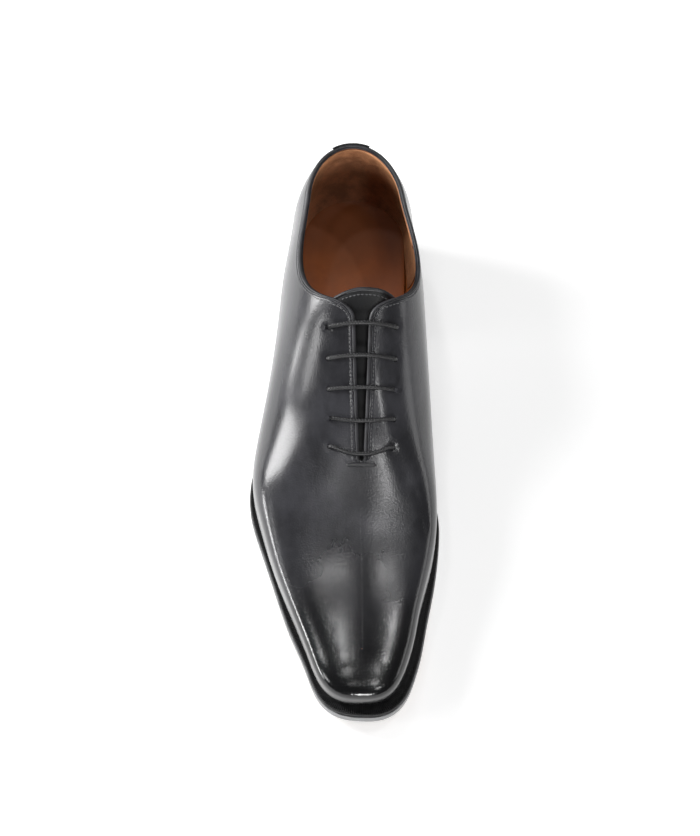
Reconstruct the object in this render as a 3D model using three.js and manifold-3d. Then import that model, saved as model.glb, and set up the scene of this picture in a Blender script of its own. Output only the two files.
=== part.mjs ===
// A man's wholecut oxford for the right foot, empty and standing on its sole.
// Millimetres. +Z is up, the toe points towards -Y, and the medial side is +X.
// The origin is on the floor, under the middle of the heel's top lift.
import * as THREE from "three";
import { mergeVertices } from "three/addons/utils/BufferGeometryUtils.js";
import Module from "manifold-3d";

// Driving dimensions of the last and the upper. Distances are measured from the heel's bulge to the toe.
const LAST_LENGTH = 291.5;
const BALL_WIDTH = 94.5; // the upper's widest, across the ball
const INSTEP_HEIGHT = 75; // crest above the feather line at the top of the facings
const BACK_HEIGHT = 62.5; // topline above the feather line at the heel
const UPPER_WALL = 2.0; // leather and lining together
const TOE_ROUND = 24; // length of the rounded toe in plan
const HEEL_ROUND = 31; // length of the rounded heel in plan
const BACK_LEAN = 7; // how far the back leans in, at the height of the topline
const LASTED_MARGIN = 8; // the upper's edge, turned in under the insole

// Driving dimensions of the bottom
const HEEL_HEIGHT = 26; // heel and top lift together, under the seat
const HEEL_LENGTH = 70; // from the back of the sole to the heel's breast
const HEEL_TAPER = 1.6;
const TOP_LIFT = 6;
const OUTSOLE = 5;
const EDGE_ROUND = 0.8; // the sole's lower edge is broken by this much
const WELT = 3;
const WELT_STEP = 0.5; // the welt's edge stands this far inside the sole's
const WELT_SEAT = 9; // width of the welt inside the feather line
const INSOLE = 3;
const TOE_SPRING = 9;
const TREAD_BACK = 0.6; // the sole rests on the floor between these shares of the last
const TREAD_FRONT = 0.7;
const SEAT_FRONT = 0.16; // the heel seat is level up to this share of the last
const SEAT_SLOPE = 0.02;
const GAP = 0.3; // left between pieces that touch

// Driving dimensions of the opening and the lacing. The facings begin at this share of the last, and the
// distances from there to the first eyelet, on to each next one, and on to the throat's end follow.
const FACING_SHARE = 0.3705;
const EYELETS = 5;
const EYELET_DROP = 4.5;
const EYELET_PITCH = 13.375;
const THROAT_PAST = 7;
const THROAT_HALF_TOP = 4.0; // half the gap between the facings, at their top and at the throat's end
const THROAT_HALF_END = 1.3;
const CORNER_ROUND = 14; // softness of the corner between topline and throat
const CORNER_AHEAD = 12; // the upper's columns lie closer from this far ahead of the facings' top
const CORNER_BEHIND = 28; // to this far behind it
const EYELET_HALF_FIRST = 17.6; // from the middle of the throat to the first and last eyelet
const EYELET_HALF_LAST = 16.2;
const EYELET_RADIUS = 2.0;
const LACE_RADIUS = 1.05;
const LACE_ROOM = 3.0; // between the facings and the tongue
const LACE_SAG = 4.5; // how far the middle of the last bar lies towards the toe
const LACE_BEND = 2.2; // radius of its bends through the eyelets
const LACE_ASIDE = 2.6; // a run under a facing passes this far beside an eyelet between its ends
const LACE_END = 11; // length of the hidden end under the lateral facing
const TONGUE = 1.8;
const TONGUE_HALF_TOP = 21;
const TONGUE_HALF_END = 22;
const TONGUE_RISE = 11; // it stands this far above the facings
const TONGUE_ARC = 3.5; // its top edge drops by this much at the corners
const TONGUE_PAST = 17; // it ends this far past the throat's end
const TONGUE_JOIN = 14; // the tongue rises to the upper over this length at its end
const TONGUE_SEAT = 4.2; // of which this length lies flat against it
const TAB = 1.0; // the strip over the back seam
const TAB_HEIGHT = 30;
const TAB_HALF_TOP = 9.5;
const TAB_HALF_END = 5.5;

// Round ends in plan are superellipses with these exponents.
const TOE_POWER = 2.8;
const HEEL_POWER = 2.0;

// Each bar's sag, as a share of the last one's
const BAR_SAGS = [0, 0, 0.07, 0.45, 1];

const HEEL_BACK_Y = HEEL_LENGTH / 2;
const FACING_TOP = FACING_SHARE * LAST_LENGTH;
const EYELET_FIRST = FACING_TOP + EYELET_DROP;
const EYELET_LAST = EYELET_FIRST + (EYELETS - 1) * EYELET_PITCH;
const THROAT_END = EYELET_LAST + THROAT_PAST;
const TONGUE_TOP = FACING_TOP - TONGUE_RISE;
const TONGUE_END = THROAT_END + TONGUE_PAST;
const SOLE_BED = OUTSOLE + GAP + WELT + GAP; // from the sole's underside to the feather line
const LATERAL = -1;
const MEDIAL = 1;
const SIDES = [LATERAL, MEDIAL];
const QUARTER_TURN = Math.PI / 2;
const STEP = 1e-4; // for slopes taken by difference

// Where a column of the upper changes from its lower to its upper part
const LOWER_PART = 0.28;
const LOWER_ROWS = 3;
const UPPER_ROWS = 11;

// The last's sections, with shares counted from the heel's bulge to the toe. Half widths, tucks from the
// widest line in to the feather line, and the crest's line are shares of BALL_WIDTH. Rises of the widest
// line and of the crest above the feather line are shares of INSTEP_HEIGHT. A fullness over 1 leans a side
// in and one under 1 makes it boxy, and shoulder does the same for its height: in front of the ball it
// drops, which leaves a broad flat top with a ridge along each side.
const WIDTH_ROWS = [
  { share: 0.0, halfLateral: 0.32, halfMedial: 0.342, line: 0.01 },
  { share: 0.07, halfLateral: 0.323, halfMedial: 0.346, line: 0.012 },
  { share: 0.14, halfLateral: 0.344, halfMedial: 0.362, line: 0.02 },
  { share: 0.22, halfLateral: 0.382, halfMedial: 0.394, line: 0.04 },
  { share: 0.3, halfLateral: 0.41, halfMedial: 0.413, line: 0.056 },
  { share: 0.4, halfLateral: 0.456, halfMedial: 0.432, line: 0.058 },
  { share: 0.5, halfLateral: 0.517, halfMedial: 0.452, line: 0.057 },
  { share: 0.6, halfLateral: 0.541, halfMedial: 0.467, line: 0.055 },
  { share: 0.68, halfLateral: 0.488, halfMedial: 0.465, line: 0.055 },
  { share: 0.76, halfLateral: 0.412, halfMedial: 0.425, line: 0.056 },
  { share: 0.84, halfLateral: 0.3175, halfMedial: 0.364, line: 0.057 },
  { share: 0.9, halfLateral: 0.246, halfMedial: 0.327, line: 0.057 },
  { share: 0.95, halfLateral: 0.195, halfMedial: 0.284, line: 0.057 },
  { share: 1.0, halfLateral: 0.163, halfMedial: 0.258, line: 0.057 },
];
const SIDE_ROWS = [
  { share: 0.0, riseLateral: 0.24, riseMedial: 0.24, fullLateral: 0.7, fullMedial: 0.7 },
  { share: 0.07, riseLateral: 0.25, riseMedial: 0.25, fullLateral: 0.78, fullMedial: 0.68 },
  { share: 0.14, riseLateral: 0.27, riseMedial: 0.28, fullLateral: 1.08, fullMedial: 0.66 },
  { share: 0.22, riseLateral: 0.28, riseMedial: 0.32, fullLateral: 1.32, fullMedial: 0.44 },
  { share: 0.3, riseLateral: 0.27, riseMedial: 0.36, fullLateral: 1.2, fullMedial: 0.52 },
  { share: 0.4, riseLateral: 0.24, riseMedial: 0.36, fullLateral: 1.12, fullMedial: 0.94 },
  { share: 0.5, riseLateral: 0.21, riseMedial: 0.28, fullLateral: 1.08, fullMedial: 0.94 },
  { share: 0.6, riseLateral: 0.18, riseMedial: 0.2, fullLateral: 0.82, fullMedial: 0.9 },
  { share: 0.68, riseLateral: 0.165, riseMedial: 0.175, fullLateral: 0.72, fullMedial: 0.9 },
  { share: 0.76, riseLateral: 0.15, riseMedial: 0.15, fullLateral: 0.72, fullMedial: 0.9 },
  { share: 0.84, riseLateral: 0.13, riseMedial: 0.13, fullLateral: 0.72, fullMedial: 0.9 },
  { share: 0.92, riseLateral: 0.115, riseMedial: 0.115, fullLateral: 0.74, fullMedial: 0.9 },
  { share: 1.0, riseLateral: 0.1, riseMedial: 0.1, fullLateral: 0.78, fullMedial: 0.9 },
];
const CREST_ROWS = [
  { share: 0.0, crest: 0.96 },
  { share: 0.14, crest: 0.97 },
  { share: 0.22, crest: 1.0 },
  { share: 0.3, crest: 1.03 },
  { share: 0.36, crest: 1.0 },
  { share: 0.42, crest: 0.91 },
  { share: 0.5, crest: 0.78 },
  { share: 0.6, crest: 0.635 },
  { share: 0.68, crest: 0.52 },
  { share: 0.76, crest: 0.43 },
  { share: 0.84, crest: 0.365 },
  { share: 0.92, crest: 0.315 },
  { share: 1.0, crest: 0.265 },
];
const SHOULDER_ROWS = [
  { share: 0.0, shoulder: 1.0 },
  { share: 0.44, shoulder: 1.0 },
  { share: 0.5, shoulder: 0.95 },
  { share: 0.55, shoulder: 0.75 },
  { share: 0.6, shoulder: 0.5 },
  { share: 0.66, shoulder: 0.37 },
  { share: 0.76, shoulder: 0.33 },
  { share: 0.84, shoulder: 0.35 },
  { share: 0.92, shoulder: 0.39 },
  { share: 1.0, shoulder: 0.46 },
];

// The bottom's outline, as shares of BALL_WIDTH: how far the feather line is tucked in from the widest
// line, and how far the sole's edge stands out from the feather line.
const BOTTOM_ROWS = [
  { share: 0.0, tuckLateral: 0.035, tuckMedial: 0.035, edgeLateral: 0.035, edgeMedial: 0.035 },
  { share: 0.12, tuckLateral: 0.038, tuckMedial: 0.042, edgeLateral: 0.032, edgeMedial: 0.03 },
  { share: 0.2, tuckLateral: 0.044, tuckMedial: 0.075, edgeLateral: 0.028, edgeMedial: 0.024 },
  { share: 0.3, tuckLateral: 0.056, tuckMedial: 0.135, edgeLateral: 0.03, edgeMedial: 0.022 },
  { share: 0.4, tuckLateral: 0.07, tuckMedial: 0.18, edgeLateral: 0.045, edgeMedial: 0.022 },
  { share: 0.5, tuckLateral: 0.058, tuckMedial: 0.125, edgeLateral: 0.068, edgeMedial: 0.03 },
  { share: 0.6, tuckLateral: 0.04, tuckMedial: 0.05, edgeLateral: 0.066, edgeMedial: 0.06 },
  { share: 0.68, tuckLateral: 0.036, tuckMedial: 0.038, edgeLateral: 0.052, edgeMedial: 0.06 },
  { share: 0.76, tuckLateral: 0.032, tuckMedial: 0.032, edgeLateral: 0.044, edgeMedial: 0.062 },
  { share: 0.84, tuckLateral: 0.028, tuckMedial: 0.028, edgeLateral: 0.052, edgeMedial: 0.071 },
  { share: 0.92, tuckLateral: 0.025, tuckMedial: 0.025, edgeLateral: 0.045, edgeMedial: 0.069 },
  { share: 1.0, tuckLateral: 0.022, tuckMedial: 0.022, edgeLateral: 0.055, edgeMedial: 0.075 },
];

// The topline: its height above the heel's feather line, as shares of BACK_HEIGHT.
const TOPLINE_ROWS = [
  { share: 0.0, height: 1.0 },
  { share: 0.05, height: 0.97 },
  { share: 0.1, height: 0.905 },
  { share: 0.15, height: 0.84 },
  { share: 0.2, height: 0.8 },
  { share: 0.25, height: 0.8 },
  { share: 0.3, height: 0.86 },
  { share: 0.34, height: 0.96 },
  { share: 0.38, height: 1.12 },
  { share: 0.42, height: 1.35 },
];

const { lerp, clamp } = THREE.MathUtils;

// A natural cubic through the points (xs, ys), as a function; straight past its ends.
function cubic(xs, ys) {
  const n = xs.length;
  const bend = new Array(n).fill(0);
  const carry = new Array(n).fill(0);
  for (let i = 1; i < n - 1; i++) {
    const share = (xs[i] - xs[i - 1]) / (xs[i + 1] - xs[i - 1]);
    const pivot = share * bend[i - 1] + 2;
    const turn = (ys[i + 1] - ys[i]) / (xs[i + 1] - xs[i]) - (ys[i] - ys[i - 1]) / (xs[i] - xs[i - 1]);
    bend[i] = (share - 1) / pivot;
    carry[i] = ((6 * turn) / (xs[i + 1] - xs[i - 1]) - share * carry[i - 1]) / pivot;
  }
  bend[n - 1] = 0;
  for (let i = n - 2; i >= 0; i--) bend[i] = bend[i] * bend[i + 1] + carry[i];
  return (x) => {
    let i = 0;
    while (i < n - 2 && x > xs[i + 1]) i++;
    const width = xs[i + 1] - xs[i];
    const part = (x - xs[i]) / width;
    const held = clamp(part, 0, 1);
    const rest = 1 - held;
    const bulge = ((rest ** 3 - rest) * bend[i] + (held ** 3 - held) * bend[i + 1]) * (width * width) / 6;
    const endTilt = part < 0 ? -(2 * bend[i] + bend[i + 1]) : bend[i] + 2 * bend[i + 1];
    const endSlope = ys[i + 1] - ys[i] + (endTilt * width * width) / 6;
    return lerp(ys[i], ys[i + 1], held) + bulge + endSlope * (part - held);
  };
}

// One cubic for each named column of a table, over the table's share column.
function curvesOf(rows) {
  const shares = rows.map((row) => row.share);
  const names = Object.keys(rows[0]).filter((name) => name !== "share");
  return Object.fromEntries(names.map((name) => [name, cubic(shares, rows.map((row) => row[name]))]));
}

const last = {
  ...curvesOf(WIDTH_ROWS),
  ...curvesOf(SIDE_ROWS),
  ...curvesOf(CREST_ROWS),
  ...curvesOf(SHOULDER_ROWS),
  ...curvesOf(BOTTOM_ROWS),
};
const topline = curvesOf(TOPLINE_ROWS);

// A side's own value of a pair of columns. Where the sides meet, at the toe and heel, apart is 0 and both
// take their mean.
function sideValue(name, side, share, apart) {
  const [lateral, medial] = [last[`${name}Lateral`](share), last[`${name}Medial`](share)];
  return lerp((lateral + medial) / 2, side === LATERAL ? lateral : medial, apart);
}
const halfWidth = (side, share) => BALL_WIDTH * sideValue("half", side, share, 1);
const tuck = (side, { share, apart }) => BALL_WIDTH * sideValue("tuck", side, share, apart);
const soleEdge = (side, { share, apart }) => BALL_WIDTH * sideValue("edge", side, share, apart);
const widestRise = (side, share, apart) => INSTEP_HEIGHT * sideValue("rise", side, share, apart);
const crestLine = (share) => BALL_WIDTH * last.line(share);
const crestRise = (share) => INSTEP_HEIGHT * last.crest(share);

// The sole's underside: the heel seat, the shank's slope, the flat tread and the toe spring.
function undersideAt(y) {
  const share = (HEEL_BACK_Y - y) / LAST_LENGTH;
  const climb = clamp((TREAD_BACK - share) / (TREAD_BACK - SEAT_FRONT), 0, 1);
  const seat = HEEL_HEIGHT + SEAT_SLOPE * (y - HEEL_BACK_Y + HEEL_LENGTH);
  const spring = Math.max(0, (share - TREAD_FRONT) / (1 - TREAD_FRONT));
  return seat * climb * climb * (3 - 2 * climb) + TOE_SPRING * spring * spring;
}
const featherAt = (y) => undersideAt(y) + SOLE_BED;
const SEAT_LEVEL = featherAt(HEEL_BACK_Y);

// A column's station runs from 0 at the toe, over 1 and 2 where the straight stretch begins and ends, to 3.
const TOE_AT = LAST_LENGTH - TOE_ROUND;
function bearing(station) {
  const toeAngle = clamp(station, 0, 1) * QUARTER_TURN;
  const heelAngle = clamp(3 - station, 0, 1) * QUARTER_TURN;
  return {
    across: Math.sin(toeAngle) ** (2 / TOE_POWER) * Math.sin(heelAngle) ** (2 / HEEL_POWER),
    ahead: station < 1 ? Math.cos(toeAngle) ** (2 / TOE_POWER) : 0,
    behind: station > 2 ? Math.cos(heelAngle) ** (2 / HEEL_POWER) : 0,
    base: lerp(TOE_AT, HEEL_ROUND, clamp(station - 1, 0, 1)),
  };
}
const stationAt = (distance) => 1 + (TOE_AT - distance) / (TOE_AT - HEEL_ROUND);

// The upper's widest line in plan, with its share of the last and how far apart the sides are, and the
// direction out from it.
function widest(side, station) {
  const way = bearing(station);
  const distance = way.base + TOE_ROUND * way.ahead - HEEL_ROUND * way.behind;
  const share = distance / LAST_LENGTH;
  const line = crestLine(share);
  const spread = halfWidth(side, share) - side * line;
  return { x: line + side * spread * way.across, y: HEEL_BACK_Y - distance, share, apart: way.across };
}
function outward(side, station) {
  if (station <= 0) return new THREE.Vector2(0, -1);
  if (station >= 3) return new THREE.Vector2(0, 1);
  const before = widest(side, station - STEP);
  const after = widest(side, station + STEP);
  return new THREE.Vector2(after.y - before.y, before.x - after.x).multiplyScalar(side).normalize();
}

// A point in plan, this far out from the feather line.
function planPoint(side, station, beyond) {
  const edge = widest(side, station);
  const step = beyond - tuck(side, edge);
  const out = outward(side, station);
  return new THREE.Vector2(edge.x + out.x * step, edge.y + out.y * step);
}
function solePoint(side, station, inside) {
  return planPoint(side, station, soleEdge(side, widest(side, station)) - inside);
}

// The upper's outer surface: level 0 is the feather line, LOWER_PART the widest line and 1 the crest.
function upperPoint(side, station, level) {
  const edge = widest(side, station);
  if (level < LOWER_PART) {
    const part = level / LOWER_PART;
    const point = planPoint(side, station, tuck(side, edge) * (1 - (1 - part) ** 2));
    const rise = widestRise(side, edge.share, edge.apart) * part;
    return new THREE.Vector3(point.x, point.y, featherAt(point.y) + rise);
  }
  const way = bearing(station);
  const turn = Math.min((level - LOWER_PART) / (1 - LOWER_PART), 1) * QUARTER_TURN;
  const rootShare = (way.base - HEEL_ROUND * way.behind) / LAST_LENGTH;
  const near = Math.max(Math.cos(turn), 0) ** sideValue("full", side, rootShare, way.across);
  const climb = Math.sin(turn) ** last.shoulder(rootShare);
  const distance = way.base + TOE_ROUND * way.ahead * near - HEEL_ROUND * way.behind;
  const share = distance / LAST_LENGTH;
  const line = crestLine(share);
  const low = widestRise(side, share, way.across);
  const rise = lerp(low, crestRise(share), climb);
  const lean = BACK_LEAN * way.behind * ((rise - low) / (BACK_HEIGHT - low)) ** 2;
  return new THREE.Vector3(
    line + side * (halfWidth(side, share) - side * line) * way.across * near,
    HEEL_BACK_Y - distance - lean,
    featherAt(HEEL_BACK_Y - distance) + rise,
  );
}

// The outward normal of that surface. Both halves share the toe's and heel's columns and the crest.
function upperNormal(side, station, level) {
  const low = upperPoint(side, station, Math.max(level - STEP, 0));
  const high = upperPoint(side, station, Math.min(level + STEP, 1));
  if (station <= 0 || station >= 3) {
    const climb = high.sub(low);
    const facing = station <= 0 ? -1 : 1;
    return new THREE.Vector3(0, facing * climb.z, -facing * climb.y).normalize();
  }
  if (level >= 1) {
    const middle = Math.max(station, 1 + STEP);
    const slope = upperPoint(side, middle + STEP, 1).sub(upperPoint(side, middle - STEP, 1));
    return new THREE.Vector3(0, -slope.z, slope.y).normalize();
  }
  const along = upperPoint(side, station + STEP, level).sub(upperPoint(side, station - STEP, level));
  return along.cross(high.sub(low)).multiplyScalar(side).normalize();
}

// The value between low and high where test stops being true, found by halving.
function boundary(low, high, test) {
  let [inside, outside] = [low, high];
  for (let i = 0; i < 40; i++) {
    const middle = (inside + outside) / 2;
    if (test(middle)) inside = middle;
    else outside = middle;
  }
  return inside;
}

// The level where a column ends, at the topline or the throat's edge, with a soft corner between the two.
function throatHalf(distance) {
  const part = Math.max((THROAT_END - distance) / (THROAT_END - FACING_TOP), 0);
  return lerp(THROAT_HALF_END, THROAT_HALF_TOP, part);
}
function endLevel(side, station) {
  const { share } = widest(side, station);
  const distance = share * LAST_LENGTH;
  if (station <= 1 || distance >= THROAT_END) return 1;
  const limit = SEAT_LEVEL + BACK_HEIGHT * topline.height(share);
  const isUpper = (level) => {
    const point = upperPoint(side, station, level);
    const under = limit - point.z;
    if (station > 2) return under > 0;
    const beside = side * (point.x - crestLine(share)) - throatHalf(distance);
    const blend = clamp(0.5 + (0.5 * (beside - under)) / CORNER_ROUND, 0, 1);
    return lerp(beside, under, blend) - CORNER_ROUND * blend * (1 - blend) > 0;
  };
  return boundary(LOWER_PART, 1, isUpper);
}

// A point over the facings, half from the middle of the throat and lift out from the upper's surface.
function facingPoint(side, distance, half, lift) {
  const station = stationAt(distance);
  const line = crestLine(distance / LAST_LENGTH);
  const isWider = (level) => side * (upperPoint(side, station, level).x - line) > half;
  const level = half > 0 ? boundary(LOWER_PART, 1, isWider) : 1;
  return upperPoint(side, station, level).addScaledVector(upperNormal(side, station, level), lift);
}

// Evenly spaced values over joined spans: each span is [from, to, count], and the last value closes it.
function spaced(...spans) {
  const valuesOf = ([from, to, count]) => Array.from({ length: count }, (_, i) => lerp(from, to, i / count));
  return [...spans.flatMap(valuesOf), spans[spans.length - 1][1]];
}

// The stations of the upper's columns: closer at the round ends and at the facing's corner.
const UPPER_STATIONS = spaced(
  [0, 1, 9],
  [1, stationAt(THROAT_END), 9],
  [stationAt(THROAT_END), stationAt(THROAT_END - THROAT_HALF_END), 1],
  [stationAt(THROAT_END - THROAT_HALF_END), stationAt(FACING_TOP + CORNER_AHEAD), 4],
  [stationAt(FACING_TOP + CORNER_AHEAD), stationAt(FACING_TOP - CORNER_BEHIND), 10],
  [stationAt(FACING_TOP - CORNER_BEHIND), 2, 4],
  [2, 3, 8],
);
const BREAST_STATION = stationAt(HEEL_LENGTH);
const PLATE_STATIONS = spaced([0, 1, 8], [1, BREAST_STATION, 16], [BREAST_STATION, 2, 3], [2, 3, 8]);
const HEEL_STATIONS = spaced([BREAST_STATION, 2, 3], [2, 3, 8]);

// The triangles of a skin over rows of points. Each row is a ring, and an open run of rows can be capped.
function skinOf(rings, { closed = false, capFirst = false, skip = () => false } = {}) {
  const triangles = [];
  const count = rings[0].length;
  const bands = closed ? rings.length : rings.length - 1;
  for (let j = 0; j < bands; j++) {
    const here = rings[j];
    const next = rings[(j + 1) % rings.length];
    for (let i = 0; i < count; i++) {
      const k = (i + 1) % count;
      if (!skip(j, i)) triangles.push([here[i], next[i], next[k]], [here[i], next[k], here[k]]);
    }
  }
  for (let i = 1; capFirst && i < count - 1; i++) triangles.push([rings[0][0], rings[0][i], rings[0][i + 1]]);
  return triangles;
}

// A closed geometry of the given triangles, with shared points merged and its faces turned outwards.
function closedGeometry(triangles) {
  const corner = new THREE.Vector3();
  const volume = triangles.reduce((sum, [a, b, c]) => sum + a.dot(corner.crossVectors(b, c)), 0);
  const facing = volume < 0 ? triangles.map(([a, b, c]) => [a, c, b]) : triangles;
  const loose = new THREE.BufferGeometry().setFromPoints(facing.flat());
  const merged = mergeVertices(loose, 1e-3);
  const index = merged.index.array;
  const kept = [];
  for (let i = 0; i < index.length; i += 3) {
    const [a, b, c] = index.subarray(i, i + 3);
    if (a !== b && b !== c && c !== a) kept.push(a, b, c);
  }
  return merged.setIndex(kept);
}

const wasm = await Module();
wasm.setup();

function solidFrom(geometry) {
  const bare = geometry.clone();
  bare.deleteAttribute("normal");
  bare.deleteAttribute("uv");
  const merged = mergeVertices(bare, 1e-3);
  const vertProperties = merged.attributes.position.array;
  const triVerts = new Uint32Array(merged.index.array);
  return new wasm.Manifold(new wasm.Mesh({ numProp: 3, vertProperties, triVerts }));
}

function geometryFrom(solid) {
  const mesh = solid.getMesh();
  return new THREE.BufferGeometry()
    .setAttribute("position", new THREE.BufferAttribute(mesh.vertProperties, 3))
    .setIndex(new THREE.BufferAttribute(mesh.triVerts, 1));
}

// Upper: one hollow wall from the margin under the insole up to the topline, the throat and the crest
function upperRing(side, station) {
  const end = endLevel(side, station);
  const levels = [
    ...spaced([LOWER_PART / LOWER_ROWS, LOWER_PART, LOWER_ROWS - 1]),
    ...spaced([LOWER_PART, end, UPPER_ROWS]).slice(1),
  ];
  const foot = upperPoint(side, station, 0);
  const out = outward(side, station);
  const above = upperPoint(side, station, STEP).sub(foot);
  const slant = Math.atan2(above.z, above.x * out.x + above.y * out.y);
  const marginPoint = (inside, lift) => {
    const point = planPoint(side, station, -inside);
    return new THREE.Vector3(point.x, point.y, featherAt(point.y) + lift);
  };
  const pointAt = (level, lift) => {
    return upperPoint(side, station, level).addScaledVector(upperNormal(side, station, level), lift);
  };
  const outer = levels.map((level) => pointAt(level, 0));
  const inner = levels.map((level) => pointAt(level, -UPPER_WALL));
  return [
    marginPoint(LASTED_MARGIN, UPPER_WALL),
    marginPoint(LASTED_MARGIN, 0),
    foot,
    ...outer,
    ...inner.reverse(),
    marginPoint(UPPER_WALL * Math.tan(slant / 2), UPPER_WALL),
  ];
}

function upperShell() {
  const rim = 2 + LOWER_ROWS + UPPER_ROWS;
  const triangles = SIDES.flatMap((side) => {
    const joined = UPPER_STATIONS.map((station) => endLevel(side, station) >= 1);
    const rings = UPPER_STATIONS.map((station) => upperRing(side, station));
    const walls = skinOf(rings, { skip: (j, i) => i === rim && joined[j] && joined[j + 1] });
    return side === MEDIAL ? walls : walls.map(([a, b, c]) => [a, c, b]);
  });
  return closedGeometry(triangles);
}

// Eyelets: where the lace goes through, from the top of the facings down
const eyeletAt = (row) => EYELET_FIRST + row * EYELET_PITCH;
function eyeletHalf(distance) {
  return lerp(EYELET_HALF_FIRST, EYELET_HALF_LAST, (distance - EYELET_FIRST) / (EYELET_LAST - EYELET_FIRST));
}

function eyeletPin(side, row) {
  const top = facingPoint(side, eyeletAt(row), eyeletHalf(eyeletAt(row)), UPPER_WALL);
  const bottom = facingPoint(side, eyeletAt(row), eyeletHalf(eyeletAt(row)), -2 * UPPER_WALL);
  const along = top.clone().sub(bottom);
  const pin = new THREE.CylinderGeometry(EYELET_RADIUS, EYELET_RADIUS, along.length(), 12);
  const turn = new THREE.Quaternion();
  turn.setFromUnitVectors(new THREE.Vector3(0, 1, 0), along.clone().normalize());
  const middle = top.add(bottom).multiplyScalar(0.5);
  return pin.applyQuaternion(turn).translate(middle.x, middle.y, middle.z);
}

function upper() {
  let solid = solidFrom(upperShell());
  for (const side of SIDES) {
    for (let row = 0; row < EYELETS; row++) solid = solid.subtract(solidFrom(eyeletPin(side, row)));
  }
  return geometryFrom(solid);
}

// Plates of the bottom. Each edge row is a function of side and station that gives a point.
const soleRow = (inside, height) => (side, station) => {
  const point = solePoint(side, station, inside);
  return new THREE.Vector3(point.x, point.y, height(point.y));
};
const innerRow = (inside, lift) => (side, station) => {
  const point = planPoint(side, station, -inside);
  return new THREE.Vector3(point.x, point.y, featherAt(point.y) + lift);
};

function plate(stations, rows, capFirst) {
  const rings = stations.map((station) => [
    ...rows.map((row) => row(LATERAL, station)),
    ...rows.map((row) => row(MEDIAL, station)).reverse(),
  ]);
  return closedGeometry(skinOf(rings, { capFirst }));
}

function outsole() {
  const above = (lift) => (y) => undersideAt(y) + lift;
  const rows = [
    soleRow(EDGE_ROUND, above(0)),
    soleRow(0, above(EDGE_ROUND)),
    soleRow(0, above(OUTSOLE)),
  ];
  return plate(PLATE_STATIONS, rows, false);
}

function welt() {
  const bottom = OUTSOLE + GAP;
  const rows = [
    soleRow(WELT_STEP, (y) => undersideAt(y) + bottom),
    soleRow(WELT_STEP, (y) => undersideAt(y) + bottom + WELT),
    innerRow(WELT_SEAT, -GAP),
    innerRow(WELT_SEAT, -GAP - WELT),
  ];
  const ringAt = (side) => (station) => rows.map((row) => row(side, station));
  const outAndBack = [
    ...PLATE_STATIONS.map(ringAt(LATERAL)),
    ...[...PLATE_STATIONS].reverse().map(ringAt(MEDIAL)),
  ];
  return closedGeometry(skinOf(outAndBack, { closed: true }));
}

function insole() {
  const inside = UPPER_WALL + GAP;
  return plate(PLATE_STATIONS, [innerRow(inside, inside), innerRow(inside, inside + INSOLE)], false);
}

// Heel: its sides taper from the sole's edge down to the floor
const heelInside = (z) => GAP + HEEL_TAPER * (1 - z / HEEL_HEIGHT);

function heelStack() {
  const bottom = TOP_LIFT + GAP;
  const rows = [
    soleRow(heelInside(bottom), () => bottom),
    soleRow(heelInside(HEEL_HEIGHT), (y) => undersideAt(y) - GAP),
  ];
  return plate(HEEL_STATIONS, rows, true);
}

function topLift() {
  const rows = [
    soleRow(heelInside(0), () => 0),
    soleRow(heelInside(TOP_LIFT), () => TOP_LIFT),
  ];
  return plate(HEEL_STATIONS, rows, true);
}

// A closed sheet over rings of points. Each ring goes along one face and comes back along the other.
function sheet(rings) {
  const faces = skinOf(rings);
  for (const [ring, isFirst] of [[rings[0], true], [rings[rings.length - 1], false]]) {
    for (let i = 0, j = ring.length - 1; i + 1 < j; i++, j--) {
      const [a, b, c, d] = [ring[i], ring[i + 1], ring[j - 1], ring[j]];
      faces.push(...(isFirst ? [[a, b, c], [a, c, d]] : [[a, c, b], [a, d, c]]));
    }
  }
  return closedGeometry(faces);
}

// Tongue: a strip under the facings, joined to the upper at its front end
function tongue() {
  const bendAt = THROAT_END - TONGUE_JOIN / 2;
  const rows = spaced([TONGUE_TOP, bendAt, 7], [bendAt, TONGUE_END, 5]);
  const across = spaced([-1, 1, 10]);
  const depthAt = (distance) => {
    const part = clamp((TONGUE_END - TONGUE_SEAT - distance) / TONGUE_JOIN, 0, 1);
    return UPPER_WALL + lerp(GAP, LACE_ROOM, part * part * (3 - 2 * part));
  };
  const rings = rows.map((at) => {
    const half = lerp(TONGUE_HALF_TOP, TONGUE_HALF_END, (at - TONGUE_TOP) / (TONGUE_END - TONGUE_TOP));
    const row = (depth) => across.map((share) => {
      const side = share < 0 ? LATERAL : MEDIAL;
      const distance = at + TONGUE_ARC * share * share * ((TONGUE_END - at) / (TONGUE_END - TONGUE_TOP)) ** 2;
      return facingPoint(side, distance, Math.abs(share) * half, -depth);
    });
    return [...row(depthAt(at)), ...row(depthAt(at) + TONGUE).reverse()];
  });
  return sheet(rings);
}

// Heel tab: a narrow strip over the back seam, down from the topline
function heelTab() {
  const rows = spaced([0, 1, 6]);
  const across = spaced([-1, 1, 8]);
  const top = endLevel(MEDIAL, 3);
  const topZ = upperPoint(MEDIAL, 3, top).z;
  const bottom = boundary(LOWER_PART, 1, (level) => upperPoint(MEDIAL, 3, level).z < topZ - TAB_HEIGHT);
  const tabPoint = (part, share, lift) => {
    const side = share < 0 ? LATERAL : MEDIAL;
    const level = lerp(top, bottom, part);
    const half = Math.abs(share) * lerp(TAB_HALF_TOP, TAB_HALF_END, part);
    const isWider = (station) => side * upperPoint(side, station, level).x > half;
    const station = half > 0 ? boundary(2, 3, isWider) : 3;
    return upperPoint(side, station, level).addScaledVector(upperNormal(side, station, level), lift);
  };
  const rings = rows.map((part) => [
    ...across.map((share) => tabPoint(part, share, GAP)),
    ...across.map((share) => tabPoint(part, share, GAP + TAB)).reverse(),
  ]);
  return sheet(rings);
}

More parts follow.
